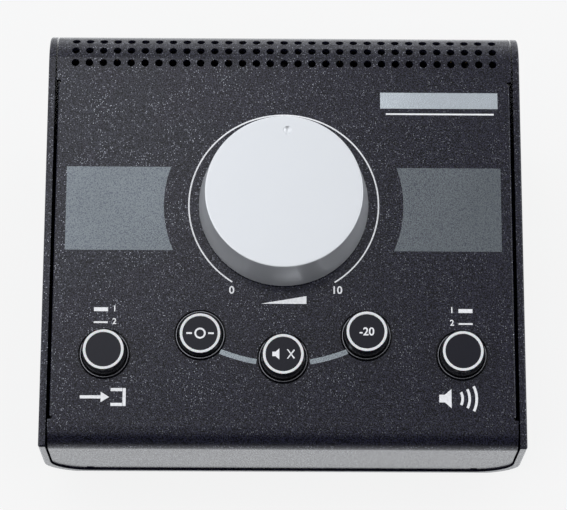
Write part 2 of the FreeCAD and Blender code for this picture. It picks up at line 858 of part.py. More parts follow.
# ---------------------------------------------------------------- the parts, one file for each
pieces = {
    "top_shell": [make_top_shell()],
    "base_tub": [make_base_tub()],
    "rear_panel": [make_rear_panel()],
    "feet": make_feet(),
    "foot_screws": make_foot_screws(),
    "base_screws": make_base_screws(),
    "lip_screws": make_lip_screws(),
    "jack_housings": make_jack_housings(),
    "jack_bushings": make_jack_bushings(),
    "jack_washers": make_jack_washers(),
    "jack_nuts": make_jack_nuts(),
    "jack_contacts": make_jack_contacts(),
    "mini_jack_housing": make_mini_jack_housing(),
    "mini_jack_bushing": make_mini_jack_bushing(),
    "mini_jack_nut": make_mini_jack_nut(),
    "jack_board": make_jack_board(),
    "control_board": make_control_board(),
    "board_standoffs": make_board_standoffs(),
    "board_screws": make_board_screws(),
    "ribbon_cable": make_ribbon_cable(),
    "ribbon_headers": make_ribbon_headers(),
    "attenuator_resistors": make_attenuator_resistors(),
    "pot_body": make_pot_body(),
    "pot_bushing": make_pot_bushing(),
    "pot_washer": make_pot_washer(),
    "pot_nut": make_pot_nut(),
    "pot_shaft": make_pot_shaft(),
    "knob_bush": make_knob_bush(),
    "volume_knob": make_volume_knob(),
    "switch_bodies": make_switch_bodies(),
    "button_bezels": make_button_bezels(),
}
for name, across, up, pressed in buttons:
    cap, ring, plunger = make_button(across, up, pressed)
    pieces[name + "_cap"] = [cap]
    pieces[name + "_ring"] = [ring]
    pieces[name + "_plunger"] = [plunger]

os.makedirs("parts", exist_ok=True)
for node, solids in pieces.items():
    shape = solids[0] if len(solids) == 1 else Part.makeCompound(solids)
    shape.exportStep("parts/" + node + ".step")
    print(node, len(shape.Solids), "solids", "valid" if shape.isValid() else "NOT VALID")
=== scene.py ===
import json
import math
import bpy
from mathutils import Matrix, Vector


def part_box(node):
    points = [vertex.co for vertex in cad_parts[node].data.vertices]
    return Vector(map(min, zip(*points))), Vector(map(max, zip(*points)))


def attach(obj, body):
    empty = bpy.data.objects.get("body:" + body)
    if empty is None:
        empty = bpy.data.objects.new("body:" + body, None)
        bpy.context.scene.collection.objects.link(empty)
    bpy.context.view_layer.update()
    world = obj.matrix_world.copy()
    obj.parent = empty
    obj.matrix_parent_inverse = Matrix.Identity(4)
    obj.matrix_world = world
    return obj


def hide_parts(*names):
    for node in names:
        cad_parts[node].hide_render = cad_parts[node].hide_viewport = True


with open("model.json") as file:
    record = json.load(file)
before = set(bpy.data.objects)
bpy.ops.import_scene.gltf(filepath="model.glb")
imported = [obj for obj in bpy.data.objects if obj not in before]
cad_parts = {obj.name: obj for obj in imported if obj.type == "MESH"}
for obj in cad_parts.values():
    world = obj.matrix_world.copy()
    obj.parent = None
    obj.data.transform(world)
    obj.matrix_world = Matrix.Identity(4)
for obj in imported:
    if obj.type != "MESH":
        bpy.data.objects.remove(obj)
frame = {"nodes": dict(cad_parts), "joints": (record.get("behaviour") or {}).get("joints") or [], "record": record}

from types import SimpleNamespace

import bmesh
import bpy
from bpy.props import FloatProperty, FloatVectorProperty, IntProperty, PointerProperty
from bpy.types import Operator, PropertyGroup
from mathutils import Matrix, Vector

bl_info = {
    "name": "Studio Monitor Controller",
    "version": (1, 0, 0),
    "blender": (4, 5, 0),
    "location": "View3D > Sidebar > Controller",
    "description": "Dresses a desktop monitor controller and sets its stage",
    "category": "Object",
}

MM = 0.001
FULL_TURN = 2 * math.pi
HALF_TURN = math.pi
CHASSIS = "chassis"
BUTTON_NAMES = ("source", "mono", "mute", "dim", "monitor")
VOLUME_TURN = next(joint for joint in frame["joints"] if joint["name"] == "volume_turn")

# How far edges are rounded, in millimetres. Nought is a sharp edge.
CRISP, FINE, SLIGHT, SOFT, ROUND, FULL = 0.05, 0.1, 0.15, 0.2, 0.3, 0.4
SHARP = math.radians(35.0)  # an edge that turns by more than this is shaded sharp
ONE_SPOT = 1e-4  # points nearer than this, in millimetres, are one point


# ---- places taken from the frame
def at(across, up, out=0.0):
    return Matrix.Translation((across, up, out))


def panel_place():
    """The panel's own frame: x to the right, y up the slope, z outwards, from the volume axis."""
    outward = Vector(VOLUME_TURN["axis"]).normalized()
    across = Vector((1, 0, 0))
    place = Matrix((across, outward.cross(across), outward)).transposed().to_4x4()
    washer = frame["nodes"]["pot_washer"].data.vertices
    level = min(vertex.co.dot(outward) for vertex in washer)
    spot = Vector(VOLUME_TURN["pos_m"])
    place.translation = spot + outward * (level - spot.dot(outward))
    return place


def rear_spot(across, level):
    """A place on the rear panel's outer face, facing away from it, for a piece in millimetres."""
    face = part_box("rear_panel")[1].y
    return at(across, face, level) @ Matrix.Rotation(-HALF_TURN / 2, 4, "X") @ IN_MM


IN_MM = Matrix.Scale(MM, 4)
OVER = Matrix.Rotation(HALF_TURN, 4, "X")
PANEL = panel_place()
ON_PANEL = PANEL @ IN_MM
ON_REAR = rear_spot(0, 0)


def box_round(vertices, place):
    """The corners, middle and half width of some vertices in the frame of a place."""
    inverse = place.inverted()
    corners = [inverse @ vertex.co for vertex in vertices]
    low = Vector([min(corner[axis] for corner in corners) for axis in range(3)])
    high = Vector([max(corner[axis] for corner in corners) for axis in range(3)])
    return SimpleNamespace(low=low, high=high, middle=(low + high) / 2,
                           radius=(high.x - low.x) / 2)


def spans(node, place=ON_PANEL):
    """A CAD node's size in the frame of a place in millimetres."""
    return box_round(frame["nodes"][node].data.vertices, place)


def merged(node):
    """A copy of a CAD node's mesh with its loose triangles joined."""
    bm = bmesh.new()
    bm.from_mesh(frame["nodes"][node].data)
    bmesh.ops.remove_doubles(bm, verts=bm.verts, dist=MM / 1000)
    return bm


def separate_solids(node, place):
    """The size of each separate solid of a CAD node in the frame of a place in millimetres."""
    bm = merged(node)
    solids = []
    for start in bm.verts:
        if start.tag:
            continue
        start.tag = True
        solid = [start]
        for vertex in solid:
            for edge in vertex.link_edges:
                near = edge.other_vert(vertex)
                if not near.tag:
                    near.tag = True
                    solid.append(near)
        solids.append(box_round(solid, place))
    bm.free()
    return solids


def millimetres(group):
    """A property group's lengths in millimetres and its other values as they are, by name."""
    values = {}
    for name, made in group.__annotations__.items():
        value = getattr(group, name)
        values[name] = value / MM if made.keywords.get("unit") == "LENGTH" else value
    return SimpleNamespace(**values)


# ---- sizes and colours
def length(name, description, millimetre_default):
    return FloatProperty(name=name, description=description, default=millimetre_default * MM,
                         min=0.0, precision=5, subtype="DISTANCE", unit="LENGTH")


def amount(name, description, default, most=10.0):
    return FloatProperty(name=name, description=description, default=default, min=0.0, max=most)


def colour(name, description, *screen):
    """A colour property, its default given as it looks on a screen, 0 to 255."""
    shares = [channel / 255 for channel in screen]
    default = [share / 12.92 if share <= 0.04045 else ((share + 0.055) / 1.055) ** 2.4
               for share in shares]
    return FloatVectorProperty(name=name, description=description, default=default, size=3,
                               min=0.0, max=1.0, subtype="COLOR")


class ControllerColours(PropertyGroup):
    coat: colour("Powder Coat", "Casing paint", 22, 22, 36)
    coat_fleck: colour("Coat Fleck", "Metal flakes in the paint", 190, 193, 202)
    ink_white: colour("White Ink", "Printed lines and marks", 250, 250, 252)
    ink_pale: colour("Pale Ink", "Printed label field", 196, 203, 209)
    ink_silver: colour("Silver Ink", "Printed fields and link lines", 117, 123, 127)
    knob: colour("Knob Silver", "Satin silver of the knob", 234, 236, 239)
    button: colour("Button Black", "Moulding of the push buttons", 10, 10, 16)
    # The bezel colour is a painted highlight: a lighter ring in place of the shine on each bezel's edge.
    bezel_lip: colour("Bezel Lip", "Bright line round each bezel", 150, 150, 155)
    ring: colour("Ring White", "Light rings of the push buttons", 236, 237, 238)
    nickel: colour("Nickel", "Socket sleeves and nuts", 205, 203, 196)
    steel: colour("Zinc Steel", "Inner fastenings and cans", 178, 181, 184)
    brass: colour("Spring Brass", "Contacts and the knob's bush", 206, 170, 96)
    zinc_black: colour("Black Zinc", "Outer screws", 36, 36, 38)
    rubber: colour("Rubber", "Feet", 30, 30, 31)
    moulding: colour("Black Moulding", "Socket and switch bodies", 26, 26, 28)
    board: colour("Solder Mask", "Circuit boards", 22, 84, 44)
    ribbon: colour("Ribbon Grey", "Flat cable", 170, 172, 174)
    floor: colour("Floor", "Table and surroundings", 249, 249, 249)
    light: colour("Light", "Tint of the studio's light", 250, 252, 255)


class PrintSizes(PropertyGroup):
    ink: length("Ink Thickness", "How far a print stands on the paint", 0.03)
    dial_radius: length("Dial Radius", "Middle of the line round the knob", 27.39)
    dial_width: length("Dial Width", "Width of the line round the knob", 0.42)
    dial_reach: FloatProperty(name="Dial Reach", description="From twelve o'clock to either end",
                              default=math.radians(147.6), subtype="ANGLE", unit="ROTATION")
    number_height: length("Number Height", "Height of the numbers", 2.3)
    number_aside: length("Number Aside", "From a rear socket to its number, across", 8.3)
    number_above: length("Number Above", "From a rear socket to its number, upwards", 4.6)
    link_radius: length("Link Radius", "Middle of the lines between buttons", 47.2)
    link_width: length("Link Width", "Width of the lines between buttons", 1.5)
    field_curve: length("Field Curve", "Radius of the fields' hollow sides", 34.6)
    field_top: length("Field Top", "Fields' upper edge above the volume axis", 11.4)
    field_foot: length("Field Foot", "Fields' lower edge below the volume axis", 13.75)
    field_reach: length("Field Reach", "Fields' outer edge from the middle", 62.85)


class KnobSizes(PropertyGroup):
    crown_inset: length("Crown Inset", "How much narrower the top is than the base", 2.0)
    crown_ease: length("Crown Edge", "Rounding of the top edge", 0.3)
    wall: length("Wall", "Thickness of the skirt", 2.2)
    crown: length("Crown", "Thickness of the top", 2.4)
    boss_wall: length("Boss Wall", "Wall round the bush", 2.5)
    dimple_at: length("Dimple Place", "Dimple from the middle", 18.2)
    dimple_radius: length("Dimple Radius", "Radius of the dimple's rim", 1.3)
    dimple_depth: length("Dimple Depth", "Depth of the dimple", 0.55)
    ribs: IntProperty(name="Ribs", description="Ribs under the crown", default=6, min=0)
    rib_width: length("Rib Width", "Thickness of a rib", 1.2)
    rib_depth: length("Rib Depth", "How far a rib hangs below the crown", 3.8)


class ButtonSizes(PropertyGroup):
    shoulder: length("Shoulder", "Drop of the slope outside the ring", 1.2)
    ring_width: length("Ring Width", "Width of the light ring", 0.76)
    dish: length("Dish", "How deep the middle lies below the ring", 0.25)
    groove: length("Groove", "Depth of the ring's groove", 0.8)
    wall: length("Wall", "Thickness of the cap's skirt", 1.1)
    crown: length("Crown", "Thickness of the cap's crown", 1.9)
    boss_radius: length("Boss Radius", "Boss that takes the plunger", 3.2)
    boss_height: length("Boss Height", "How far the boss hangs below the crown", 3.4)
    bezel_gap: length("Bezel Gap", "Between a cap and its bezel", 0.3)
    bezel_wall: length("Bezel Wall", "Thickness of the bezel's wall", 0.62)
    bezel_drop: length("Bezel Drop", "How far it slopes down outside its lip", 0.6)
    # The ring at the top of each bezel is a painted highlight, in place of the shine on its edge.
    lip_inset: length("Lip Inset", "Between the bore and the bright lip", 0.08)
    lip_width: length("Lip Width", "Width of a bezel's bright lip", 0.22)


class SocketSizes(PropertyGroup):
    thread_pitch: length("Thread Pitch", "Pitch of the large sleeves' thread", 0.8)
    thread_depth: length("Thread Depth", "Depth of the large sleeves' thread", 0.28)
    small_share: amount("Small Share", "The small sleeve's thread, as a share", 0.75, 1.0)
    nut_flats: length("Nut Flats", "Across the flats of the nuts", 12.7)
    nut_height: length("Nut Height", "Height of the nuts", 2.0)


class ScrewSizes(PropertyGroup):
    thread_radius: length("Thread Radius", "Radius of the threads", 1.5)
    thread_pitch: length("Screw Thread Pitch", "Pitch of the threads", 0.5)
    thread_depth: length("Screw Thread Depth", "Depth of the threads", 0.2)
    head: length("Head", "Height of the pan heads", 1.6)
    low_head: length("Low Head", "Height of the foot screws' heads", 1.2)
    flat_share: amount("Flat Share", "Share of a head's radius that is flat", 0.72, 1.0)
    edge_share: amount("Edge Share", "Share of a head's height that is upright", 0.45, 1.0)
    recess_reach: length("Recess Reach", "Half the length of the cross recess", 1.5)
    recess_half: length("Recess Half Width", "Half the width of the recess's slots", 0.34)
    recess_depth: length("Recess Depth", "Depth of the cross recess", 0.7)


class FootSizes(PropertyGroup):
    taper: length("Taper", "How much narrower a foot is at the table", 0.6)
    edge: length("Foot Edge", "Rounding of a foot's lower edge", 0.5)
    recess_radius: length("Recess Radius", "Hollow for the screw's head", 3.4)
    web: length("Web", "Rubber above the screw's head", 1.0)


class StageSettings(PropertyGroup):
    lens: FloatProperty(name="Lens", description="Focal length on a 36 mm wide frame",
                        default=170.5, unit="CAMERA")
    camera_place: FloatVectorProperty(name="Camera Place", size=3, subtype="TRANSLATION",
                                      description="From the volume axis, in the panel's own frame",
                                      default=(-4.85 * MM, -229.65 * MM, 741.16 * MM))
    camera_turn: FloatVectorProperty(name="Camera Turn", size=3, subtype="EULER",
                                     description="Tilt, swing and roll from square to the panel",
                                     default=[math.radians(turn) for turn in (16.15, -0.36, 0.30)])
    overhead: amount("Overhead", "Light of the panel overhead", 1.51)
    upper_left: amount("Upper Left", "Light of the panel high on the left", 1.15)
    ceiling: amount("Ceiling", "Light of the ceiling", 0.37)
    left_box: amount("Left Box", "Light of the soft box low on the left", 1.35)
    right_box: amount("Right Box", "Light of the soft box on the right", 1.45)
    rear_wall: amount("Rear Wall", "Light of the wall behind the object", 1.55)
    dim: amount("Dim Walls", "Light of the rest of the room", 0.09)
    table_front: length("Table Front", "Ahead of the middle, where the lit table has faded", 160.0)
    table_edge: length("Table Edge", "Ahead of the middle, where it starts to fade", 60.0)


# ---- meshes
def wire(bm, points, closed=False):
    """A line through points. Gives its vertices."""
    vertices = [bm.verts.new(point) for point in points]
    for first, second in zip(vertices, vertices[1:] + vertices[:1] * closed):
        bm.edges.new((first, second))
    return vertices


def circle(bm, radius, segments, place):
    """A round line. Gives its edges."""
    made = bmesh.ops.create_circle(bm, cap_ends=False, radius=radius, segments=segments,
                                   matrix=place)
    points = set(made["verts"])
    return [edge for edge in bm.edges if points.issuperset(edge.verts)]


def fill_between(bm, outlines):
    """Closes the flat between outlines."""
    bmesh.ops.triangle_fill(bm, use_beauty=True, use_dissolve=False, normal=(0, 0, 1),
                            edges=outlines)


def sorted_parts(parts):
    """The vertices and the edges among the parts of a mesh."""
    return ([part for part in parts if isinstance(part, bmesh.types.BMVert)],
            [part for part in parts if isinstance(part, bmesh.types.BMEdge)])


def close_up(bm):
    """Joins what meets and turns every face outwards."""
    bmesh.ops.remove_doubles(bm, verts=bm.verts, dist=ONE_SPOT)
    bmesh.ops.recalc_face_normals(bm, faces=bm.faces)


def turned(section, steps=72, ease_steps=4):
    """Turns a section about Z. Each corner is a radius, a height and the size of its rounding.

    A section that starts and ends off the axis is a closed loop."""
    bm = bmesh.new()
    vertices = wire(bm, [(radius, 0.0, height) for radius, height, ease in section],
                    closed=section[0][0] > 0 and section[-1][0] > 0)
    for size in sorted({ease for radius, height, ease in section} - {0.0}):
        chosen = [vertex for vertex, corner in zip(vertices, section) if corner[2] == size]
        bmesh.ops.bevel(bm, geom=chosen, offset=size, offset_type="OFFSET", segments=ease_steps,
                        profile=0.5, affect="VERTICES", material=-1)
    bmesh.ops.spin(bm, geom=bm.verts[:] + bm.edges[:], cent=(0, 0, 0), axis=(0, 0, 1),
                   angle=FULL_TURN, steps=steps, use_merge=True)
    close_up(bm)
    return bm


def repeated(source, places):
    """Copies of one mesh at several places, as one mesh. The source is used up."""
    bm = bmesh.new()
    for place in places:
        mesh = bpy.data.meshes.new("copy")
        source.to_mesh(mesh)
        mesh.transform(place)
        bm.from_mesh(mesh)
        bpy.data.meshes.remove(mesh)
    source.free()
    return bm


def middles(solids, way):
    """The place of each solid's axis."""
    return [way @ at(*solid.middle.xy) for solid in solids]


def rim_of(bm, level):
    """The open edges that lie at one height."""
    return [edge for edge in bm.edges if edge.is_boundary
            and all(abs(vertex.co.z - level) < ONE_SPOT for vertex in edge.verts)]


def thicken(bm, thickness):
    """Gives flat faces a thickness upwards, as a closed plate."""
    kept = bmesh.ops.extrude_face_region(bm, geom=bm.faces[:], use_keep_orig=True)
    bmesh.ops.translate(bm, verts=sorted_parts(kept["geom"])[0], vec=(0, 0, thickness))
    bmesh.ops.recalc_face_normals(bm, faces=bm.faces)


def piece(name, bm, coat, slot, nodes=(), place=Matrix.Identity(4), body=CHASSIS):
    """Makes a mesh an object in its place, riding on a body, with its finish."""
    bm.transform(place)
    mesh = bpy.data.meshes.new(name)
    bm.to_mesh(mesh)
    bm.free()
    mesh.shade_smooth()
    mesh.set_sharp_from_angle(angle=SHARP)
    made = bpy.data.objects.new(name, mesh)
    bpy.context.scene.collection.objects.link(made)
    made.data.materials.append(finish(coat))
    weighted = made.modifiers.new("Flat faces stay flat", "WEIGHTED_NORMAL")
    weighted.keep_sharp = True
    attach(made, body)
    if nodes:
        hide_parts(*nodes)


def printed(name, bm, ink, coat, slot, **where):
    """Makes flat shapes a thin print."""
    thicken(bm, ink)
    piece(name, bm, coat, slot, **where)


def coat_node(node, coat):
    """Gives a CAD node that stays its finish."""
    materials = frame["nodes"][node].data.materials
    materials.clear()
    materials.append(finish(coat))


# ---- finishes
def named_socket(sockets, name):
    """The socket with this identifier, or else with this name."""
    for socket in sockets:
        if socket.identifier == name:
            return socket
    return sockets[name]


class Wired:
    """A socket's value. Sums and products of it add the Math nodes that work them out."""

    def __init__(self, board, socket):
        self.board = board
        self.socket = socket

    def other(self, name):
        """Another output of the same node."""
        return Wired(self.board, named_socket(self.socket.node.outputs, name))

    def worked(self, operation, first, second):
        return self.board.node("ShaderNodeMath", {"Value": first, "Value_001": second},
                               operation=operation)

    def __add__(self, other):
        return self.worked("ADD", self, other)

    def __sub__(self, other):
        return self.worked("SUBTRACT", self, other)

    def __rsub__(self, other):
        return self.worked("SUBTRACT", other, self)

    def __mul__(self, other):
        return self.worked("MULTIPLY", self, other)

    __radd__ = __add__
    __rmul__ = __mul__


class NodeBoard:
    """The node tree of one finish or light."""

    def __init__(self, tree):
        self.tree = tree
        tree.nodes.clear()

    def node(self, kind, sockets, output=None, **settings):
        """Adds a node: first its settings, then the values or links of its sockets."""
        node = self.tree.nodes.new(kind)
        for name, setting in settings.items():
            setattr(node, name, setting)
        for name, given in sockets.items():
            socket = named_socket(node.inputs, name)
            if isinstance(given, Wired):
                self.tree.links.new(given.socket, socket)
            else:
                socket.default_value = given
        if node.outputs:
            return Wired(self, named_socket(node.outputs, output) if output else node.outputs[0])

    def place(self):
        return self.node("ShaderNodeTexCoord", {}, "Object")

    def noise(self, size, detail=2.0, roughness=0.5, vector=None):
        """Cloudy noise whose features are about this size, in millimetres."""
        return self.node("ShaderNodeTexNoise", {
            "Vector": vector or self.place(), "Scale": 1 / (size * MM), "Detail": detail,
            "Roughness": roughness})

    def step(self, value, low, high):
        """Nought up to low, one from high on, and smooth between. High may be the lesser."""
        return self.node("ShaderNodeMapRange", {
            "Value": value, "From Min": low, "From Max": high}, interpolation_type="SMOOTHSTEP")

    def mix(self, share, first, second):
        """A colour between two colours."""
        return self.node("ShaderNodeMix", {
            "Factor_Float": share, "A_Color": first, "B_Color": second}, "Result_Color",
            data_type="RGBA")

    def shades(self, share, rgb, first, second=1.0):
        """A colour between two strengths of one colour."""
        return self.mix(share, opaque(rgb, first), opaque(rgb, second))

    def surface(self, base, roughness, skin, depth, **sockets):
        """The shader. Its skin is a height, nought to one, over a depth in millimetres."""
        normal = self.node("ShaderNodeBump", {"Height": skin, "Distance": depth * MM})
        shader = self.node("ShaderNodeBsdfPrincipled", {
            "Base Color": base, "Roughness": roughness, "Normal": normal, **sockets})
        self.node("ShaderNodeOutputMaterial", {"Surface": shader})


def opaque(rgb, strength=1.0):
    """A colour with its alpha, made lighter or darker."""
    return tuple(min(1.0, channel * strength) for channel in rgb) + (1.0,)


def new_finish(name):
    material = bpy.data.materials.new(name)
    material.use_nodes = True
    return material, NodeBoard(material.node_tree)


def powder_coat(board, coat, fleck):
    """Satin black powder coat: fine metal flakes, thicker in patches, over a slow orange peel."""
    grain = board.noise(0.42)
    patches = board.step(board.noise(10.0, 3.0), 0.32, 0.68)
    spots = board.node("ShaderNodeTexVoronoi", {"Vector": board.place(), "Scale": 1 / (0.44 * MM)})
    flakes = (board.step(spots, 0.42, 0.12) * board.step(spots.other("Color"), 0.50, 0.80)
              * (0.36 + 0.46 * patches))
    pores = board.step(board.noise(0.36, 1.0), 0.40, 0.60)
    board.surface(base=board.mix(flakes, board.shades(pores, coat, 0.2, 1.7), opaque(fleck)),
                  roughness=0.16 + 0.10 * grain,
                  skin=0.6 * grain + 0.4 * board.noise(1.6), depth=0.009,
                  Metallic=board.step(flakes, 0.0, 0.15), IOR=1.30,
                  **{"Coat Weight": 0.30 + 0.65 * pores, "Coat Roughness": 0.18, "Coat IOR": 1.38})


def printed_ink(board, rgb):
    """Screen-printed ink: a thin even film that takes on a little of the paint's grain."""
    grain = board.noise(0.42)
    film = board.step(board.noise(0.6), 0.30, 0.62)
    board.surface(base=board.shades(film, rgb, 0.90), roughness=0.38 + 0.12 * grain,
                  skin=grain, depth=0.012)


def silver_ink(board, rgb, coat, strength, pitted):
    """Silver ink laid thin over the paint, whose grain shows through as darker pits."""
    grain = board.noise(0.36)
    pits = board.step(board.noise(0.38), 0.46, 0.64)
    light = board.shades(board.noise(14.0), [strength * channel for channel in rgb], 0.95, 1.15)
    board.surface(base=board.mix(pitted * pits, light, opaque(coat, 4.0)),
                  roughness=0.17 + 0.08 * grain, skin=grain, depth=0.014, Metallic=0.92, IOR=1.35)


def satin_silver(board, rgb):
    """Bead-blasted and anodised aluminium."""
    blast = board.noise(0.16)
    board.surface(base=board.shades(board.noise(12.0), rgb, 0.985),
                  roughness=0.34 + 0.10 * blast, skin=blast, depth=0.004, Metallic=0.75)


def button_black(board, rgb):
    """Glossy black moulding with faint rubbing marks."""
    rub = board.noise(1.4, 4.0, 0.6)
    board.surface(base=board.shades(rub, rgb, 0.8, 1.3), roughness=0.20 + 0.14 * rub,
                  skin=board.noise(0.5), depth=0.003)


def button_crown(board, rgb):
    """The satin middle of a push button, with the casing's tone and a finer grain."""
    grain = board.noise(0.3)
    board.surface(base=board.shades(grain, rgb, 0.4, 0.9), roughness=0.20 + 0.08 * grain,
                  skin=grain, depth=0.004, IOR=1.40)


def bright_lip(board, rgb):
    """A painted highlight: a light metal ring that stands in for the shine on a bezel's rounded edge."""
    turning = board.noise(0.3)
    board.surface(base=board.shades(turning, rgb, 0.85), roughness=0.24 + 0.10 * turning,
                  skin=turning, depth=0.004, Metallic=0.9)


def ring_white(board, rgb):
    """Milky light guide with faint clouds."""
    milk = board.noise(1.2)
    board.surface(base=board.shades(milk, rgb, 0.94), roughness=0.30 + 0.10 * milk,
                  skin=board.noise(0.3), depth=0.003,
                  **{"Subsurface Weight": 0.1, "Subsurface Scale": 0.3 * MM})


def moulding(board, rgb, roughness):
    """Plain moulded plastic with a spark-eroded skin."""
    skin = board.noise(0.22, 3.0)
    board.surface(base=board.shades(board.noise(6.0), rgb, 0.85, 1.12),
                  roughness=roughness + 0.14 * skin, skin=skin, depth=0.006)


def foot_rubber(board, rgb):
    """Soft black rubber, dusty in patches."""
    skin = board.noise(0.35, 3.0)
    dust = board.step(board.noise(3.0, 3.0), 0.52, 0.75)
    board.surface(base=board.shades(0.35 * dust, rgb, 1.0, 3.2), roughness=0.68 + 0.16 * skin,
                  skin=skin, depth=0.02)


def plated(board, rgb, roughness):
    """Plated metal with fine turning lines and slight dulling."""
    narrow = board.node("ShaderNodeMapping", {"Vector": board.place(), "Scale": (0.18, 0.18, 1.0)},
                        vector_type="TEXTURE")
    turning = board.noise(0.5, 3.0, 0.6, narrow)
    dull = board.step(board.noise(2.5, 3.0), 0.45, 0.75)
    board.surface(base=board.shades(0.4 * dull, rgb, 1.0, 0.72),
                  roughness=roughness + 0.10 * turning + 0.12 * dull,
                  skin=turning, depth=0.004, Metallic=1.0)


def black_zinc(board, rgb):
    """Black zinc plating, a little worn to grey in spots."""
    worn = board.step(board.noise(0.8, 4.0, 0.65), 0.58, 0.76)
    board.surface(base=board.shades(0.5 * worn, rgb, 1.0, 4.0), roughness=0.34 + 0.20 * worn,
                  skin=board.noise(0.4, 3.0), depth=0.006, Metallic=0.7)


def solder_mask(board, rgb):
    """Green solder mask with tracks showing through as paler lines."""
    tracks = board.node("ShaderNodeTexBrick", {
        "Vector": board.place(), "Scale": 1 / (16 * MM), "Mortar Size": 0.03}, "Fac")
    film = board.noise(1.8, 3.0)
    board.surface(base=board.mix(0.45 * tracks, board.shades(film, rgb, 0.8, 1.15),
                                   opaque(rgb, 2.2)),
                  roughness=0.28 + 0.10 * film, skin=tracks + 0.2 * film, depth=0.02)


def ribbon_sheath(board, rgb, pitch):
    """Flat cable: parallel conductors at a pitch in millimetres, each a low rounded rib."""
    ribs = board.node("ShaderNodeTexWave", {
        "Vector": board.place(), "Scale": math.pi / (10 * pitch * MM)})
    # The colour darkens with the ribs' height into the grooves between them: a painted shade.
    board.surface(base=board.shades(ribs, rgb, 0.55), roughness=0.40 + 0.10 * board.noise(0.5),
                  skin=ribs, depth=0.25)


# Each finish: how it is made, from which colours, and its own values.
RECIPES = {
    "powder_coat": (powder_coat, ("coat", "coat_fleck"), {}),
    "ink_white": (printed_ink, ("ink_white",), {}),
    "silver_field": (silver_ink, ("ink_silver", "coat"), {"strength": 1.0, "pitted": 0.45}),
    "silver_line": (silver_ink, ("ink_silver", "coat"), {"strength": 1.9, "pitted": 0.3}),
    "ink_pale": (silver_ink, ("ink_pale", "coat"), {"strength": 1.0, "pitted": 0.05}),
    "satin_silver": (satin_silver, ("knob",), {}),
    "button_black": (button_black, ("button",), {}),
    "button_crown": (button_crown, ("coat",), {}),
    # The bezels' ring of painted highlight.
    "bright_lip": (bright_lip, ("bezel_lip",), {}),
    "ring_white": (ring_white, ("ring",), {}),
    "white_moulding": (moulding, ("ring",), {"roughness": 0.45}),
    "black_moulding": (moulding, ("moulding",), {"roughness": 0.48}),
    "foot_rubber": (foot_rubber, ("rubber",), {}),
    "nickel": (plated, ("nickel",), {"roughness": 0.16}),
    "zinc_steel": (plated, ("steel",), {"roughness": 0.30}),
    "spring_brass": (plated, ("brass",), {"roughness": 0.26}),
    "black_zinc": (black_zinc, ("zinc_black",), {}),
    "solder_mask": (solder_mask, ("board",), {}),
    "ribbon_sheath": (ribbon_sheath, ("ribbon",), {"pitch": 1.27}),
}
FINISHES = {}


def finish(name):
    """A finish by name, made when it is first asked for."""
    if name not in FINISHES:
        recipe, tints, values = RECIPES[name]
        colours = bpy.context.scene.controller_colours
        FINISHES[name], board = new_finish(name)
        recipe(board, *(getattr(colours, tint) for tint in tints), **values)
    return FINISHES[name]


# ---- casing
class CONTROLLER_OT_casing(Operator):
    """Gives the wrap, the tub and the rear panel smooth bends and their powder coat"""
    bl_idname = "controller.casing"
    bl_label = "Casing"

    def execute(self, context):
        for node in ("top_shell", "base_tub", "rear_panel"):
            bm = merged(node)
            bmesh.ops.dissolve_limit(bm, angle_limit=math.radians(0.2), verts=bm.verts,
                                     use_dissolve_boundaries=False, edges=bm.edges)
            piece("coated_" + node, bm, "powder_coat", "black_paint", (node,))
        return {"FINISHED"}


# ---- prints on the panel
# Places in millimetres from the volume axis. A bar is its left, right, lower and upper edge.
DIAL_NUMBERS = (("0", -14.8, -25.5), ("10", 15.6, -25.4))
WEDGE = ((-6.4, -29.55), (6.6, -29.55), (6.6, -27.25))
SELECTOR_BARS = ((50.05, 54.05, -32.0, -30.85), (50.05, 54.05, -35.5, -35.0))
SELECTOR_NUMBERS, SELECTOR_HEIGHT = (("1", 48.15, -31.15), ("2", 48.15, -34.9)), 1.75
INPUT_SPOT, OUTPUT_SPOT = (-51.0, -57.1), (51.05, -57.1)
LABEL_FIELD = (28.1, 62.4, 29.65, 34.55)
LABEL_LINE = (29.7, 61.2, 27.7, 28.2)
LINK_ENDS = ((202.3, 189.3), (170.7, 157.3))  # degrees, clockwise from twelve o'clock

# Plain symbols, in millimetres from their own middle. The loudspeaker is one across.
ARROW_SHAFT, ARROW_HEAD = (-6.5, -0.6, -0.45, 0.45), ((-0.6, -1.5), (1.8, 0.0), (-0.6, 1.5))
OPEN_BOX = ((5.6, 6.5, -2.6, 2.6), (2.2, 5.5, -2.6, -1.7), (2.2, 5.5, 1.7, 2.6))
SPEAKER = ((-0.5, -0.2), (-0.22, -0.2), (0.12, -0.5), (0.12, 0.5), (-0.22, 0.2), (-0.5, 0.2))
OUTPUT_SPEAKER, OUTPUT_AT, WAVES_AT = 5.6, -4.0, -4.4
WAVE_RADII, WAVE_WIDTH, WAVE_ENDS = (4.2, 6.2, 8.2), 0.75, (64.0, 116.0)
MONO_RING, MONO_LINE = (1.35, 0.5), (2.3, 3.9, -0.25, 0.25)
MUTE_SPEAKER, MUTE_AT = 3.2, -1.5
MUTE_STROKE = ((1.0, -1.35), (1.35, -1.35), (3.3, 1.15), (2.95, 1.35))
DIM_HEIGHT = 2.4


def draw_shape(bm, points, across=0.0, up=0.0):
    bm.faces.new([bm.verts.new((across + x, up + y, 0.0)) for x, y in points])


def draw_bar(bm, left, right, low, high, across=0.0, up=0.0):
    draw_shape(bm, ((left, low), (right, low), (right, high), (left, high)), across, up)


def draw_pair(bm, left, right, low, high):
    """A bar and its mirror image across the middle."""
    draw_bar(bm, -right, -left, low, high)
    draw_bar(bm, left, right, low, high)


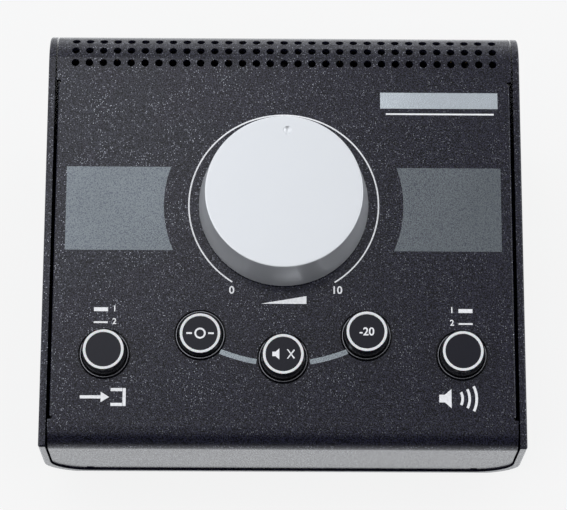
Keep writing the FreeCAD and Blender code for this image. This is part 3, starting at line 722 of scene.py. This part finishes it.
def draw_arc(bm, radius, width, start, end, across=0.0, up=0.0, steps=16):
    """A curved band between two angles, clockwise from twelve o'clock."""
    way = Vector((math.sin(start), math.cos(start), 0.0))
    centre = Vector((across, up, 0.0))
    ends = wire(bm, (centre + way * (radius - width / 2), centre + way * (radius + width / 2)))
    bmesh.ops.spin(bm, geom=ends + [ends[0].link_edges[0]], cent=centre, axis=(0, 0, -1),
                   angle=end - start, steps=steps, use_merge=end - start == FULL_TURN)


def draw_text(bm, text, height, across=0.0, up=0.0, boldness=0.018):
    """Flat figures of one height, centred on a spot."""
    curve = bpy.data.curves.new("figures", "FONT")
    curve.body = text
    curve.resolution_u = 6
    curve.offset = boldness
    holder = bpy.data.objects.new("figures", curve)
    mesh = bpy.data.meshes.new_from_object(holder)
    box = box_round(mesh.vertices, Matrix.Identity(4))
    scale = height / (box.high.y - box.low.y)
    mesh.transform(at(across, up) @ Matrix.Scale(scale, 4) @ at(*-box.middle.xy))
    bm.from_mesh(mesh)
    bpy.data.meshes.remove(mesh)
    bpy.data.objects.remove(holder)
    bpy.data.curves.remove(curve)


def draw_speaker(bm, size, across, up):
    """A plain loudspeaker: a driver box and its cone."""
    draw_shape(bm, [(x * size, y * size) for x, y in SPEAKER], across, up)


def draw_input(bm, across, up):
    """An arrow that points into an open box."""
    draw_shape(bm, ARROW_HEAD, across, up)
    for bar in (ARROW_SHAFT, *OPEN_BOX):
        draw_bar(bm, *bar, across, up)


def draw_output(bm, across, up):
    """A loudspeaker with three waves."""
    draw_speaker(bm, OUTPUT_SPEAKER, across + OUTPUT_AT, up)
    for radius in WAVE_RADII:
        draw_arc(bm, radius, WAVE_WIDTH, *map(math.radians, WAVE_ENDS), across + WAVES_AT, up)


def draw_field(bm, sizes, side):
    """A grey field beside the knob, its inner side hollow and concentric with the knob."""
    curve = sizes.field_curve
    top = math.asin(sizes.field_top / curve)
    foot = math.asin(-sizes.field_foot / curve)
    start = bm.verts.new((side * curve * math.cos(top), curve * math.sin(top), 0.0))
    bmesh.ops.spin(bm, geom=[start], cent=(0, 0, 0), axis=(0, 0, side), angle=foot - top, steps=24,
                   use_merge=False)
    last = min(bm.verts, key=lambda vertex: vertex.co.y)
    outer = wire(bm, [(side * sizes.field_reach, end.co.y, 0.0) for end in (start, last)])
    bm.edges.new((start, outer[0]))
    bm.edges.new((outer[1], last))
    bmesh.ops.contextual_create(bm, geom=bm.edges[:])


def draw_marks(bm, sizes):
    """Everything printed in white: the dial, numbers, bars and symbols."""
    draw_arc(bm, sizes.dial_radius, sizes.dial_width, -sizes.dial_reach, sizes.dial_reach,
             steps=120)
    for text, across, up in DIAL_NUMBERS:
        draw_text(bm, text, sizes.number_height, across, up)
    draw_shape(bm, WEDGE)
    for bar in SELECTOR_BARS:
        draw_pair(bm, *bar)
    for text, across, up in SELECTOR_NUMBERS:
        for side in (-1, 1):
            draw_text(bm, text, SELECTOR_HEIGHT, side * across, up)
    draw_input(bm, *INPUT_SPOT)
    draw_output(bm, *OUTPUT_SPOT)
    draw_bar(bm, *LABEL_LINE)


class CONTROLLER_OT_prints(Operator):
    """Prints the dial, numbers, bars, symbols, fields and link lines on the panel"""
    bl_idname = "controller.prints"
    bl_label = "Panel Prints"

    def execute(self, context):
        sizes = millimetres(context.scene.controller_prints)
        marks, label, links = bmesh.new(), bmesh.new(), bmesh.new()
        draw_marks(marks, sizes)
        draw_bar(label, *LABEL_FIELD)
        for ends in LINK_ENDS:
            draw_arc(links, sizes.link_radius, sizes.link_width, *map(math.radians, ends))
        prints = [("panel_marks", marks, "ink_white", "ring_white"),
                  ("panel_label_field", label, "ink_pale", "ring_white"),
                  ("panel_link_lines", links, "silver_line", "black_paint")]
        for name, side in (("left", -1), ("right", 1)):
            field = bmesh.new()
            draw_field(field, sizes, side)
            prints.append(("panel_field_" + name, field, "silver_field", "black_paint"))
        for name, bm, coat, slot in prints:
            printed(name, bm, sizes.ink, coat, slot, place=ON_PANEL)
        return {"FINISHED"}


# ---- volume knob
RIB_SUNK = 0.5  # how far a rib's ends stand in the walls, in millimetres


def sink_dimple(bm, sizes, top, rings=6):
    """Closes the knob's open top with a flat that has a round dimple in it."""
    centre = at(0, sizes.dimple_at, top)
    radius, level = sizes.dimple_radius, 0.0
    edges = circle(bm, radius, 32, centre)
    fill_between(bm, rim_of(bm, top) + edges)
    ball = (radius ** 2 + sizes.dimple_depth ** 2) / (2 * sizes.dimple_depth)
    whole = math.asin(radius / ball)
    for ring in range(1, rings):
        angle = whole * (1 - ring / rings)
        next_radius = ball * math.sin(angle)
        next_level = ball * math.cos(whole) - ball * math.cos(angle)
        points, edges = sorted_parts(bmesh.ops.extrude_edge_only(bm, edges=edges)["geom"])
        bmesh.ops.scale(bm, vec=(next_radius / radius,) * 2 + (1,), verts=points,
                        space=centre.inverted())
        bmesh.ops.translate(bm, vec=(0, 0, next_level - level), verts=points)
        radius, level = next_radius, next_level
    bmesh.ops.contextual_create(bm, geom=edges)


def knob_mesh(sizes):
    """The knob: a leaning skirt, a crown with a dimple, a boss for the bush, and ribs."""
    knob, bush = spans("volume_knob"), spans("knob_bush")
    top, foot = knob.high.z, knob.low.z
    under = top - sizes.crown
    crown_radius = knob.radius - sizes.crown_inset
    flat_radius = crown_radius - 3 * sizes.crown_ease
    bore = knob.radius - sizes.wall
    bore_top = bore - sizes.crown_inset / (top - foot) * (under - foot)
    boss_radius = bush.radius + sizes.boss_wall
    bm = turned((
        (flat_radius, top, 0.0), (crown_radius, top, sizes.crown_ease), (knob.radius, foot, SOFT),
        (bore, foot, SOFT), (bore_top, under, FULL), (boss_radius, under, FULL),
        (boss_radius, bush.low.z, SLIGHT), (bush.radius, bush.low.z, FINE),
        (bush.radius, under, 0.0), (0.0, under, 0.0),
    ), steps=160, ease_steps=5)
    sink_dimple(bm, sizes, top)
    close_up(bm)
    reach = bore_top - boss_radius + 2 * RIB_SUNK
    rib = (at((bore_top + boss_radius) / 2, 0, under - sizes.rib_depth / 2)
           @ Matrix.Diagonal((reach, sizes.rib_width, sizes.rib_depth, 1)))
    for index in range(sizes.ribs):
        turn = Matrix.Rotation(FULL_TURN * index / sizes.ribs, 4, "Z")
        bmesh.ops.create_cube(bm, size=1.0, matrix=turn @ rib)
    return bm


class CONTROLLER_OT_knob(Operator):
    """Turns the volume knob with its eased crown and its dimple"""
    bl_idname = "controller.knob"
    bl_label = "Volume Knob"

    def execute(self, context):
        sizes = millimetres(context.scene.controller_knob)
        # The joint's range is even about twelve o'clock, so its middle tells how the knob rests.
        rest = -math.radians(sum(VOLUME_TURN["range_deg"])) / 2
        piece("silver_knob", knob_mesh(sizes), "satin_silver", "satin_silver", ("volume_knob",),
              place=ON_PANEL @ Matrix.Rotation(rest, 4, "Z"), body="knob")
        return {"FINISHED"}


# ---- push buttons
# In millimetres: the crown disc, the cap's rim outside the light ring, and the bezel's edges.
DISC_PROUD, DISC_SUNK, DISC_GAP = 0.02, 0.1, 0.1
RIM_WIDTH, RIM_LOW, RIM_EDGE, SHOULDER_EASE, RING_EASE = 0.08, 0.02, 0.03, 0.6, 0.12
# How deep the ring of painted highlight sits in the bezel's top, and how far the bore's edge drops.
HIGHLIGHT_STAND, BORE_DROP = 0.06, 0.15


def cap_section(cap, ring, sizes):
    """The section of one cap, from the middle of its crown to the middle of its boss."""
    top, base, radius = ring.high.z, cap.low.z, cap.radius
    inner = ring.radius - sizes.ring_width
    bottom = top - sizes.groove
    under = top - sizes.crown
    boss_low = under - sizes.boss_height
    return (
        (0.0, top - sizes.dish, 0.0), (inner, top - sizes.dish, 0.0), (inner, bottom, 0.0),
        (ring.radius, bottom, 0.0), (ring.radius, top - RIM_LOW, 0.0),
        (ring.radius + RIM_WIDTH, top - RIM_EDGE, RIM_EDGE),
        (radius, top - sizes.shoulder, SHOULDER_EASE),
        (radius, base, SLIGHT), (radius - sizes.wall, base, SLIGHT),
        (radius - sizes.wall, under, SOFT), (sizes.boss_radius, under, SOFT),
        (sizes.boss_radius, boss_low, SOFT), (0.0, boss_low, 0.0),
    )


class CONTROLLER_OT_buttons(Operator):
    """Turns the five push buttons: caps, crown discs and light rings"""
    bl_idname = "controller.buttons"
    bl_label = "Push Buttons"

    def execute(self, context):
        sizes = millimetres(context.scene.controller_buttons)
        for name in BUTTON_NAMES:
            cap, ring = spans(name + "_cap"), spans(name + "_ring")
            where = {"place": ON_PANEL @ at(*cap.middle.xy), "body": name + "_button"}
            inner = ring.radius - sizes.ring_width
            guide = ((inner, ring.low.z, 0.0), (ring.radius, ring.low.z, 0.0),
                     (ring.radius, ring.high.z, RING_EASE), (inner, ring.high.z, RING_EASE))
            edge, middle = inner - DISC_GAP, ring.high.z - sizes.dish
            disc = ((0.0, middle + DISC_PROUD, 0.0), (edge, middle + DISC_PROUD, DISC_PROUD),
                    (edge, middle - DISC_SUNK, 0.0), (0.0, middle - DISC_SUNK, 0.0))
            piece(name + "_moulded_cap", turned(cap_section(cap, ring, sizes)),
                  "button_black", "button_black", (name + "_cap",), **where)
            piece(name + "_crown_disc", turned(disc, 64), "button_crown", "button_black", **where)
            piece(name + "_light_ring", turned(guide), "ring_white", "ring_white",
                  (name + "_ring",), **where)
            coat_node(name + "_plunger", "white_moulding")
        return {"FINISHED"}


class CONTROLLER_OT_bezels(Operator):
    """Turns the black bezels round the push buttons and the light rings let into their tops as a painted highlight
    """
    bl_idname = "controller.bezels"
    bl_label = "Button Bezels"

    def execute(self, context):
        sizes = millimetres(context.scene.controller_buttons)
        node = spans("button_bezels")
        caps = [spans(name + "_cap") for name in BUTTON_NAMES]
        flange = node.high.x - max(cap.middle.x for cap in caps)
        sheet = -spans("board_standoffs").high.z
        bore = spans("mute_cap").radius + sizes.bezel_gap
        outer = bore + sizes.bezel_wall
        highlight_inner = bore + sizes.lip_inset
        highlight_outer = highlight_inner + sizes.lip_width
        top = node.high.z
        seat = top - HIGHLIGHT_STAND
        bezel = ((bore, node.low.z, 0.0), (flange, node.low.z, FINE), (flange, -sheet, FINE),
                 (outer, -sheet, 0.0), (outer, top - sizes.bezel_drop, CRISP),
                 (highlight_outer, seat, 0.0), (highlight_inner, seat, 0.0), (bore, top - BORE_DROP, CRISP))
        # A lighter metal ring let into the bezel's top: a painted highlight in place of the shine on its edge.
        highlight_ring = ((highlight_inner, seat, 0.0), (highlight_outer, seat, 0.0),
               (highlight_outer, top, CRISP), (highlight_inner, top, CRISP))
        for name, section, coat, nodes in (
                ("moulded_bezels", bezel, "button_black", ("button_bezels",)),
                ("bezel_lips", highlight_ring, "bright_lip", ())):
            piece(name, repeated(turned(section), middles(caps, ON_PANEL)), coat, "button_black",
                  nodes)
        return {"FINISHED"}


def draw_mono(bm):
    """A ring between two short lines."""
    draw_arc(bm, *MONO_RING, 0.0, FULL_TURN, steps=48)
    draw_pair(bm, *MONO_LINE)


def draw_mute(bm):
    """A loudspeaker and a cross."""
    draw_speaker(bm, MUTE_SPEAKER, MUTE_AT, 0.0)
    for lean in (-1, 1):
        draw_shape(bm, [(x, lean * y) for x, y in MUTE_STROKE])


def draw_dim(bm):
    """The number of decibels."""
    draw_text(bm, "-20", DIM_HEIGHT)


class CONTROLLER_OT_button_marks(Operator):
    """Prints the plain symbols on the three middle buttons"""
    bl_idname = "controller.button_marks"
    bl_label = "Button Marks"

    def execute(self, context):
        ink = millimetres(context.scene.controller_prints).ink
        dish = millimetres(context.scene.controller_buttons).dish
        for name, draw in (("mono", draw_mono), ("mute", draw_mute), ("dim", draw_dim)):
            mark = bmesh.new()
            draw(mark)
            level = spans(name + "_ring").high.z - dish + DISC_PROUD
            place = ON_PANEL @ at(*spans(name + "_cap").middle.xy, level)
            printed(name + "_mark", mark, ink, "ink_white", "ring_white", place=place,
                    body=name + "_button")
        return {"FINISHED"}


# ---- sockets
def threaded_sleeve(bore, sleeve, pitch, depth):
    """A sleeve with a thread where it stands out of the rear panel."""
    radius, stand, inner = sleeve.radius, sleeve.high.z, sleeve.low.z
    chamfer, slope, mouth, mouth_slope, ease = 0.4, 0.45, 0.3, 0.35, 0.06
    plain, spare = 0.5, 0.1
    turns = int((stand - plain - spare) / pitch)
    section = [(bore, inner, 0.0), (radius, inner, FINE)]
    for index in range(turns):
        level = stand - plain - (turns - index) * pitch
        section += [(radius - cut, level + share * pitch, 0.0)
                    for share, cut in ((0.1, 0.0), (0.5, depth), (0.9, 0.0))]
    section += [(radius, stand - slope, 0.0), (radius - chamfer, stand, ease),
                (bore + mouth, stand, ease), (bore, stand - mouth_slope, 0.0)]
    return turned(section, ease_steps=2)


def hexagon_nut(flats, bore, low, high, ease=0.25):
    """A hexagonal nut. Its outer edges are eased, and the bore stays sharp."""
    bm = bmesh.new()
    reach = flats / 2 / math.cos(math.pi / 6)
    for radius, segments in ((reach, 6), (bore, 60)):
        circle(bm, radius, segments, at(0, 0, low))
    fill_between(bm, bm.edges[:])
    thicken(bm, high - low)
    corners = [edge for edge in bm.edges
               if min(vertex.co.xy.length for vertex in edge.verts) > bore + ease
               and edge.calc_face_angle(0) > SHARP]
    bmesh.ops.bevel(bm, geom=corners, offset=ease, offset_type="OFFSET", segments=2, profile=0.5,
                    affect="EDGES", material=-1)
    return bm


def sockets_named(start):
    return [mount for mount in frame["record"]["mounts"] if mount["name"].startswith(start)]


def socket_places(mounts):
    return [rear_spot(mount["pos_m"][0], mount["pos_m"][2]) for mount in mounts]


def row_of(name, bm, mounts, node):
    """Puts a copy of a part at each socket, in place of a CAD node."""
    piece(name, repeated(bm, socket_places(mounts)), "nickel", "nickel", (node,))


class CONTROLLER_OT_sockets(Operator):
    """Turns the rear sockets' threaded sleeves, washers and nuts"""
    bl_idname = "controller.sockets"
    bl_label = "Rear Sockets"

    def execute(self, context):
        sizes = millimetres(context.scene.controller_sockets)
        large = sockets_named("socket_lower") + sockets_named("socket_upper")
        small = sockets_named("socket_mini")
        sleeve, washer, small_sleeve, small_nut = [
            spans(node, ON_REAR)
            for node in ("jack_bushings", "jack_washers", "mini_jack_bushing", "mini_jack_nut")]
        outermost = max(mount["pos_m"][0] for mount in large) / MM
        for row in (sleeve, washer):
            row.radius = row.high.x - outermost
        pitch, depth, share = sizes.thread_pitch, sizes.thread_depth, sizes.small_share
        seat, thread = washer.high.z, small_sleeve.radius
        bore, small_bore = large[0]["dims"]["r_mm"], small[0]["dims"]["r_mm"]
        row_of("threaded_sleeves", threaded_sleeve(bore, sleeve, pitch, depth), large,
               "jack_bushings")
        row_of("plated_washers", turned((
            (sleeve.radius, 0.0, 0.0), (washer.radius, 0.0, SLIGHT),
            (washer.radius, seat, SLIGHT), (sleeve.radius, seat, 0.0))), large, "jack_washers")
        row_of("hexagon_nuts", hexagon_nut(sizes.nut_flats, sleeve.radius, seat,
                                           seat + sizes.nut_height), large, "jack_nuts")
        row_of("small_sleeve", threaded_sleeve(small_bore, small_sleeve, pitch * share,
                                               depth * share), small, "mini_jack_bushing")
        row_of("small_ring_nut", turned((
            (thread, 0.0, 0.0), (small_nut.radius, 0.0, FINE),
            (small_nut.radius, small_nut.high.z, ROUND), (thread, small_nut.high.z, FINE))),
            small, "mini_jack_nut")
        return {"FINISHED"}


class CONTROLLER_OT_rear_numbers(Operator):
    """Prints a plain number beside each rear socket"""
    bl_idname = "controller.rear_numbers"
    bl_label = "Rear Numbers"

    def execute(self, context):
        sizes = millimetres(context.scene.controller_prints)
        upright = ON_REAR @ Matrix.Rotation(HALF_TURN, 4, "Z")
        spots = [upright.inverted() @ place.translation
                 for place in socket_places(sockets_named("socket_"))]
        spots.sort(key=lambda spot: (round(spot.x), -spot.y))
        numbers = bmesh.new()
        for number, spot in enumerate(spots, 1):
            draw_text(numbers, str(number), sizes.number_height, spot.x - sizes.number_aside,
                      spot.y + sizes.number_above)
        printed("rear_numbers", numbers, sizes.ink, "ink_white", "ring_white", place=upright)
        return {"FINISHED"}


# ---- screws and feet
def sink_cross(bm, sizes, top, taper=0.75):
    """Closes a screw head's open top with a flat that has a tapering cross recess in it."""
    reach, half = sizes.recess_reach, sizes.recess_half
    arm = [Vector((reach, -half, top)), Vector((reach, half, top)), Vector((half, half, top))]
    wire(bm, [Matrix.Rotation(FULL_TURN * quarter / 4, 3, "Z") @ corner
              for quarter in range(4) for corner in arm], closed=True)
    cross = [edge for edge in bm.edges if edge.is_wire]
    fill_between(bm, rim_of(bm, top) + cross)
    points, edges = sorted_parts(bmesh.ops.extrude_edge_only(bm, edges=cross)["geom"])
    bmesh.ops.scale(bm, vec=(taper, taper, 1), verts=points)
    bmesh.ops.translate(bm, vec=(0, 0, -sizes.recess_depth), verts=points)
    bmesh.ops.contextual_create(bm, geom=edges)
    close_up(bm)


def pan_screw(solid, head, sizes):
    """A cross-recessed pan-head screw, its head at the top of its solid."""
    top, end, radius = solid.high.z, solid.low.z, solid.radius
    seat = top - head
    thread, depth, pitch = sizes.thread_radius, sizes.thread_depth, sizes.thread_pitch
    flat = sizes.flat_share * radius
    rim, crown_ease, plain, point, blunt = 0.3, 0.25, 0.4, 0.5, 0.3
    section = [(flat - rim, top, 0.0), (flat, top, crown_ease),
               (radius, seat + sizes.edge_share * head, ROUND), (radius, seat, CRISP),
               (thread, seat, 0.0)]
    for turn in range(int((seat - end - 2 * point) / pitch)):
        level = seat - plain - turn * pitch
        section += [(thread, level, 0.0), (thread - depth, level - pitch / 2, 0.0)]
    section += [(thread, end + point, 0.0), (thread - blunt, end, 0.0), (0.0, end, 0.0)]
    bm = turned(section, steps=40, ease_steps=3)
    sink_cross(bm, sizes, top)
    return bm


class CONTROLLER_OT_screws(Operator):
    """Turns the pan-head screws with their cross recesses"""
    bl_idname = "controller.screws"
    bl_label = "Screws"

    def execute(self, context):
        sizes = millimetres(context.scene.controller_screws)
        below = OVER @ IN_MM
        for node, way, head, plating, slot in (
                ("foot_screws", below, sizes.low_head, "black_zinc", "black_steel"),
                ("base_screws", below, sizes.head, "black_zinc", "black_steel"),
                ("lip_screws", ON_REAR, sizes.head, "black_zinc", "black_steel"),
                ("board_screws", ON_PANEL @ OVER, sizes.head, "zinc_steel", "bright_steel")):
            solids = separate_solids(node, way)
            screws = repeated(pan_screw(solids[0], head, sizes), middles(solids, way))
            piece("cross_" + node, screws, plating, slot, (node,))
        return {"FINISHED"}


class CONTROLLER_OT_feet(Operator):
    """Turns the rubber feet with their soft lower edges"""
    bl_idname = "controller.feet"
    bl_label = "Feet"

    def execute(self, context):
        sizes = millimetres(context.scene.controller_feet)
        bore = millimetres(context.scene.controller_screws).thread_radius
        solids = separate_solids("feet", IN_MM)
        low, high, radius = solids[0].low.z, solids[0].high.z, solids[0].radius
        seat = high - sizes.web
        foot = ((bore, high, 0.0), (radius, high, SLIGHT), (radius - sizes.taper, low, sizes.edge),
                (sizes.recess_radius, low, ROUND), (sizes.recess_radius, seat, SOFT),
                (bore, seat, 0.0))
        piece("rubber_feet", repeated(turned(foot), middles(solids, IN_MM)), "foot_rubber",
              "foot_rubber", ("feet",))
        return {"FINISHED"}


# ---- inner pieces
INNER_FINISHES = {
    "black_moulding": ("jack_housings", "mini_jack_housing", "ribbon_headers", "switch_bodies",
                       "attenuator_resistors"),
    "spring_brass": ("jack_contacts", "knob_bush"),
    "solder_mask": ("jack_board", "control_board"),
    "zinc_steel": ("board_standoffs", "pot_body", "pot_shaft"),
    "nickel": ("pot_bushing", "pot_washer", "pot_nut"),
    "ribbon_sheath": ("ribbon_cable",),
}


class CONTROLLER_OT_inside(Operator):
    """Gives the boards, cans, contacts and cable their finishes"""
    bl_idname = "controller.inside"
    bl_label = "Inner Pieces"

    def execute(self, context):
        for name, nodes in INNER_FINISHES.items():
            for node in nodes:
                coat_node(node, name)
        return {"FINISHED"}


# ---- stage
FLOOR_REACH = 12.0  # metres from the middle to the edge
UNLIT_TABLE = 0.05  # light of the table ahead of the object
EVEN_SHARE = 0.9  # how much of the table shows evenly, without shadows

# Each light of the room fills the rays that pass all its steps. A step is an axis of the ray's
# direction, the value where the light is nought and the value where it is full.
ROOM = {
    "overhead": (("Z", 0.50, 0.80), ("X", -0.21, -0.05), ("X", 0.036, -0.02),
                 ("Y", -0.045, 0.03), ("Y", 0.37, 0.29)),
    "upper_left": (("Z", 0.50, 0.80), ("X", -0.05, -0.21), ("X", -0.75, -0.45), ("Y", 0.57, 0.12)),
    "ceiling": (("Z", 0.30, 0.96),),
    "left_box": (("X", -0.25, -0.60), ("Z", 0.02, 0.31), ("Z", 0.86, 0.40), ("Y", 0.70, 0.20)),
    "right_box": (("X", 0.53, 0.57), ("Z", 0.26, 0.30), ("Y", 0.70, 0.20)),
    "rear_wall": (("Y", 0.14, 1.25),),
}


def make_floor(colours, stage):
    """A plain pale table. Mirrored in the object, it is lit beside it and fades out ahead of it.

    To the camera it shows evenly and keeps the object's shadow."""
    bm = bmesh.new()
    bmesh.ops.create_grid(bm, x_segments=1, y_segments=1, size=FLOOR_REACH)
    mesh = bpy.data.meshes.new("floor")
    bm.to_mesh(mesh)
    bm.free()
    floor = bpy.data.objects.new("floor", mesh)
    bpy.context.scene.collection.objects.link(floor)
    material, board = new_finish("pale_table")
    camera = board.node("ShaderNodeLightPath", {}, "Is Camera Ray")
    shown = camera + camera.other("Is Glossy Ray") + camera.other("Is Transmission Ray")
    back = board.node("ShaderNodeSeparateXYZ", {"Vector": board.place()}, "Y")
    lit_table = board.step(back, -stage.table_front, -stage.table_edge)
    glow = camera + (1 - camera) * (UNLIT_TABLE + (1 - UNLIT_TABLE) * lit_table)
    lit = board.node("ShaderNodeBsdfDiffuse", {"Color": opaque(colours.floor, 0.9)})
    even = board.node("ShaderNodeEmission", {
        "Color": board.mix(camera, opaque(colours.light), opaque(colours.floor)), "Strength": glow})
    blend = board.node("ShaderNodeMixShader", {
        "Fac": EVEN_SHARE * shown, "Shader": lit, "Shader_001": even})
    board.node("ShaderNodeOutputMaterial", {"Surface": blend})
    floor.data.materials.append(material)


def make_room(colours, stage):
    """A studio: panels overhead and high on the left, a ceiling, soft boxes and a rear wall.

    To the camera it is as pale as the table."""
    world = bpy.data.worlds.new("studio")
    world.use_nodes = True
    bpy.context.scene.world = world
    board = NodeBoard(world.node_tree)
    way = board.node("ShaderNodeTexCoord", {}, "Generated")
    ray = board.node("ShaderNodeSeparateXYZ", {"Vector": way})
    light = stage.dim
    for name, steps in ROOM.items():
        share = getattr(stage, name)
        for axis, nought, full in steps:
            share = share * board.step(ray.other(axis), nought, full)
        light = light + share
    camera = board.node("ShaderNodeLightPath", {}, "Is Camera Ray")
    shine = board.node("ShaderNodeBackground", {
        "Color": board.mix(camera, opaque(colours.light), opaque(colours.floor)),
        "Strength": camera + (1 - camera) * light})
    board.node("ShaderNodeOutputWorld", {"Surface": shine})


def make_camera(stage):
    lens = bpy.data.cameras.new("view")
    lens.sensor_width = 36.0
    lens.lens = stage.lens
    lens.clip_start = 0.02
    lens.clip_end = 40.0
    camera = bpy.data.objects.new("view", lens)
    place = PANEL @ Matrix.Translation(stage.camera_place)
    for angle, axis in zip(stage.camera_turn, "XYZ"):
        place = place @ Matrix.Rotation(angle, 4, axis)
    camera.matrix_world = place
    bpy.context.scene.collection.objects.link(camera)
    bpy.context.scene.camera = camera


class CONTROLLER_OT_stage(Operator):
    """Sets the table, the studio's light and the camera"""
    bl_idname = "controller.stage"
    bl_label = "Stage"

    def execute(self, context):
        colours = context.scene.controller_colours
        stage = context.scene.controller_stage
        make_floor(colours, stage)
        make_room(colours, stage)
        make_camera(stage)
        context.scene.view_settings.view_transform = "Standard"
        return {"FINISHED"}


# ---- the add-on
# The groups of settings, and the operators in the order in which main calls them.
GROUPS = {
    "controller_colours": ControllerColours,
    "controller_prints": PrintSizes,
    "controller_knob": KnobSizes,
    "controller_buttons": ButtonSizes,
    "controller_sockets": SocketSizes,
    "controller_screws": ScrewSizes,
    "controller_feet": FootSizes,
    "controller_stage": StageSettings,
}
OPERATORS = (
    CONTROLLER_OT_casing,
    CONTROLLER_OT_prints,
    CONTROLLER_OT_knob,
    CONTROLLER_OT_buttons,
    CONTROLLER_OT_bezels,
    CONTROLLER_OT_button_marks,
    CONTROLLER_OT_sockets,
    CONTROLLER_OT_rear_numbers,
    CONTROLLER_OT_screws,
    CONTROLLER_OT_feet,
    CONTROLLER_OT_inside,
    CONTROLLER_OT_stage,
)


class CONTROLLER_PT_sidebar(bpy.types.Panel):
    """Lists the steps that build the controller, with their sizes and colours"""
    bl_idname = "CONTROLLER_PT_sidebar"
    bl_label = "Monitor Controller"
    bl_space_type = "VIEW_3D"
    bl_region_type = "UI"
    bl_category = "Controller"

    def draw(self, context):
        for operator in OPERATORS:
            self.layout.operator(operator.bl_idname)
        for name in GROUPS:
            group = getattr(context.scene, name)
            for setting in group.__annotations__:
                self.layout.prop(group, setting)


def register():
    for name, group in GROUPS.items():
        bpy.utils.register_class(group)
        setattr(bpy.types.Scene, name, PointerProperty(type=group))
    for operator in OPERATORS:
        bpy.utils.register_class(operator)
    bpy.utils.register_class(CONTROLLER_PT_sidebar)


def unregister():
    bpy.utils.unregister_class(CONTROLLER_PT_sidebar)
    for operator in reversed(OPERATORS):
        bpy.utils.unregister_class(operator)
    for name, group in GROUPS.items():
        delattr(bpy.types.Scene, name)
        bpy.utils.unregister_class(group)


def main():
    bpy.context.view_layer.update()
    register()
    for operator in OPERATORS:
        getattr(bpy.ops.controller, operator.bl_idname.split(".")[1])()


if __name__ == "__main__":
    main()
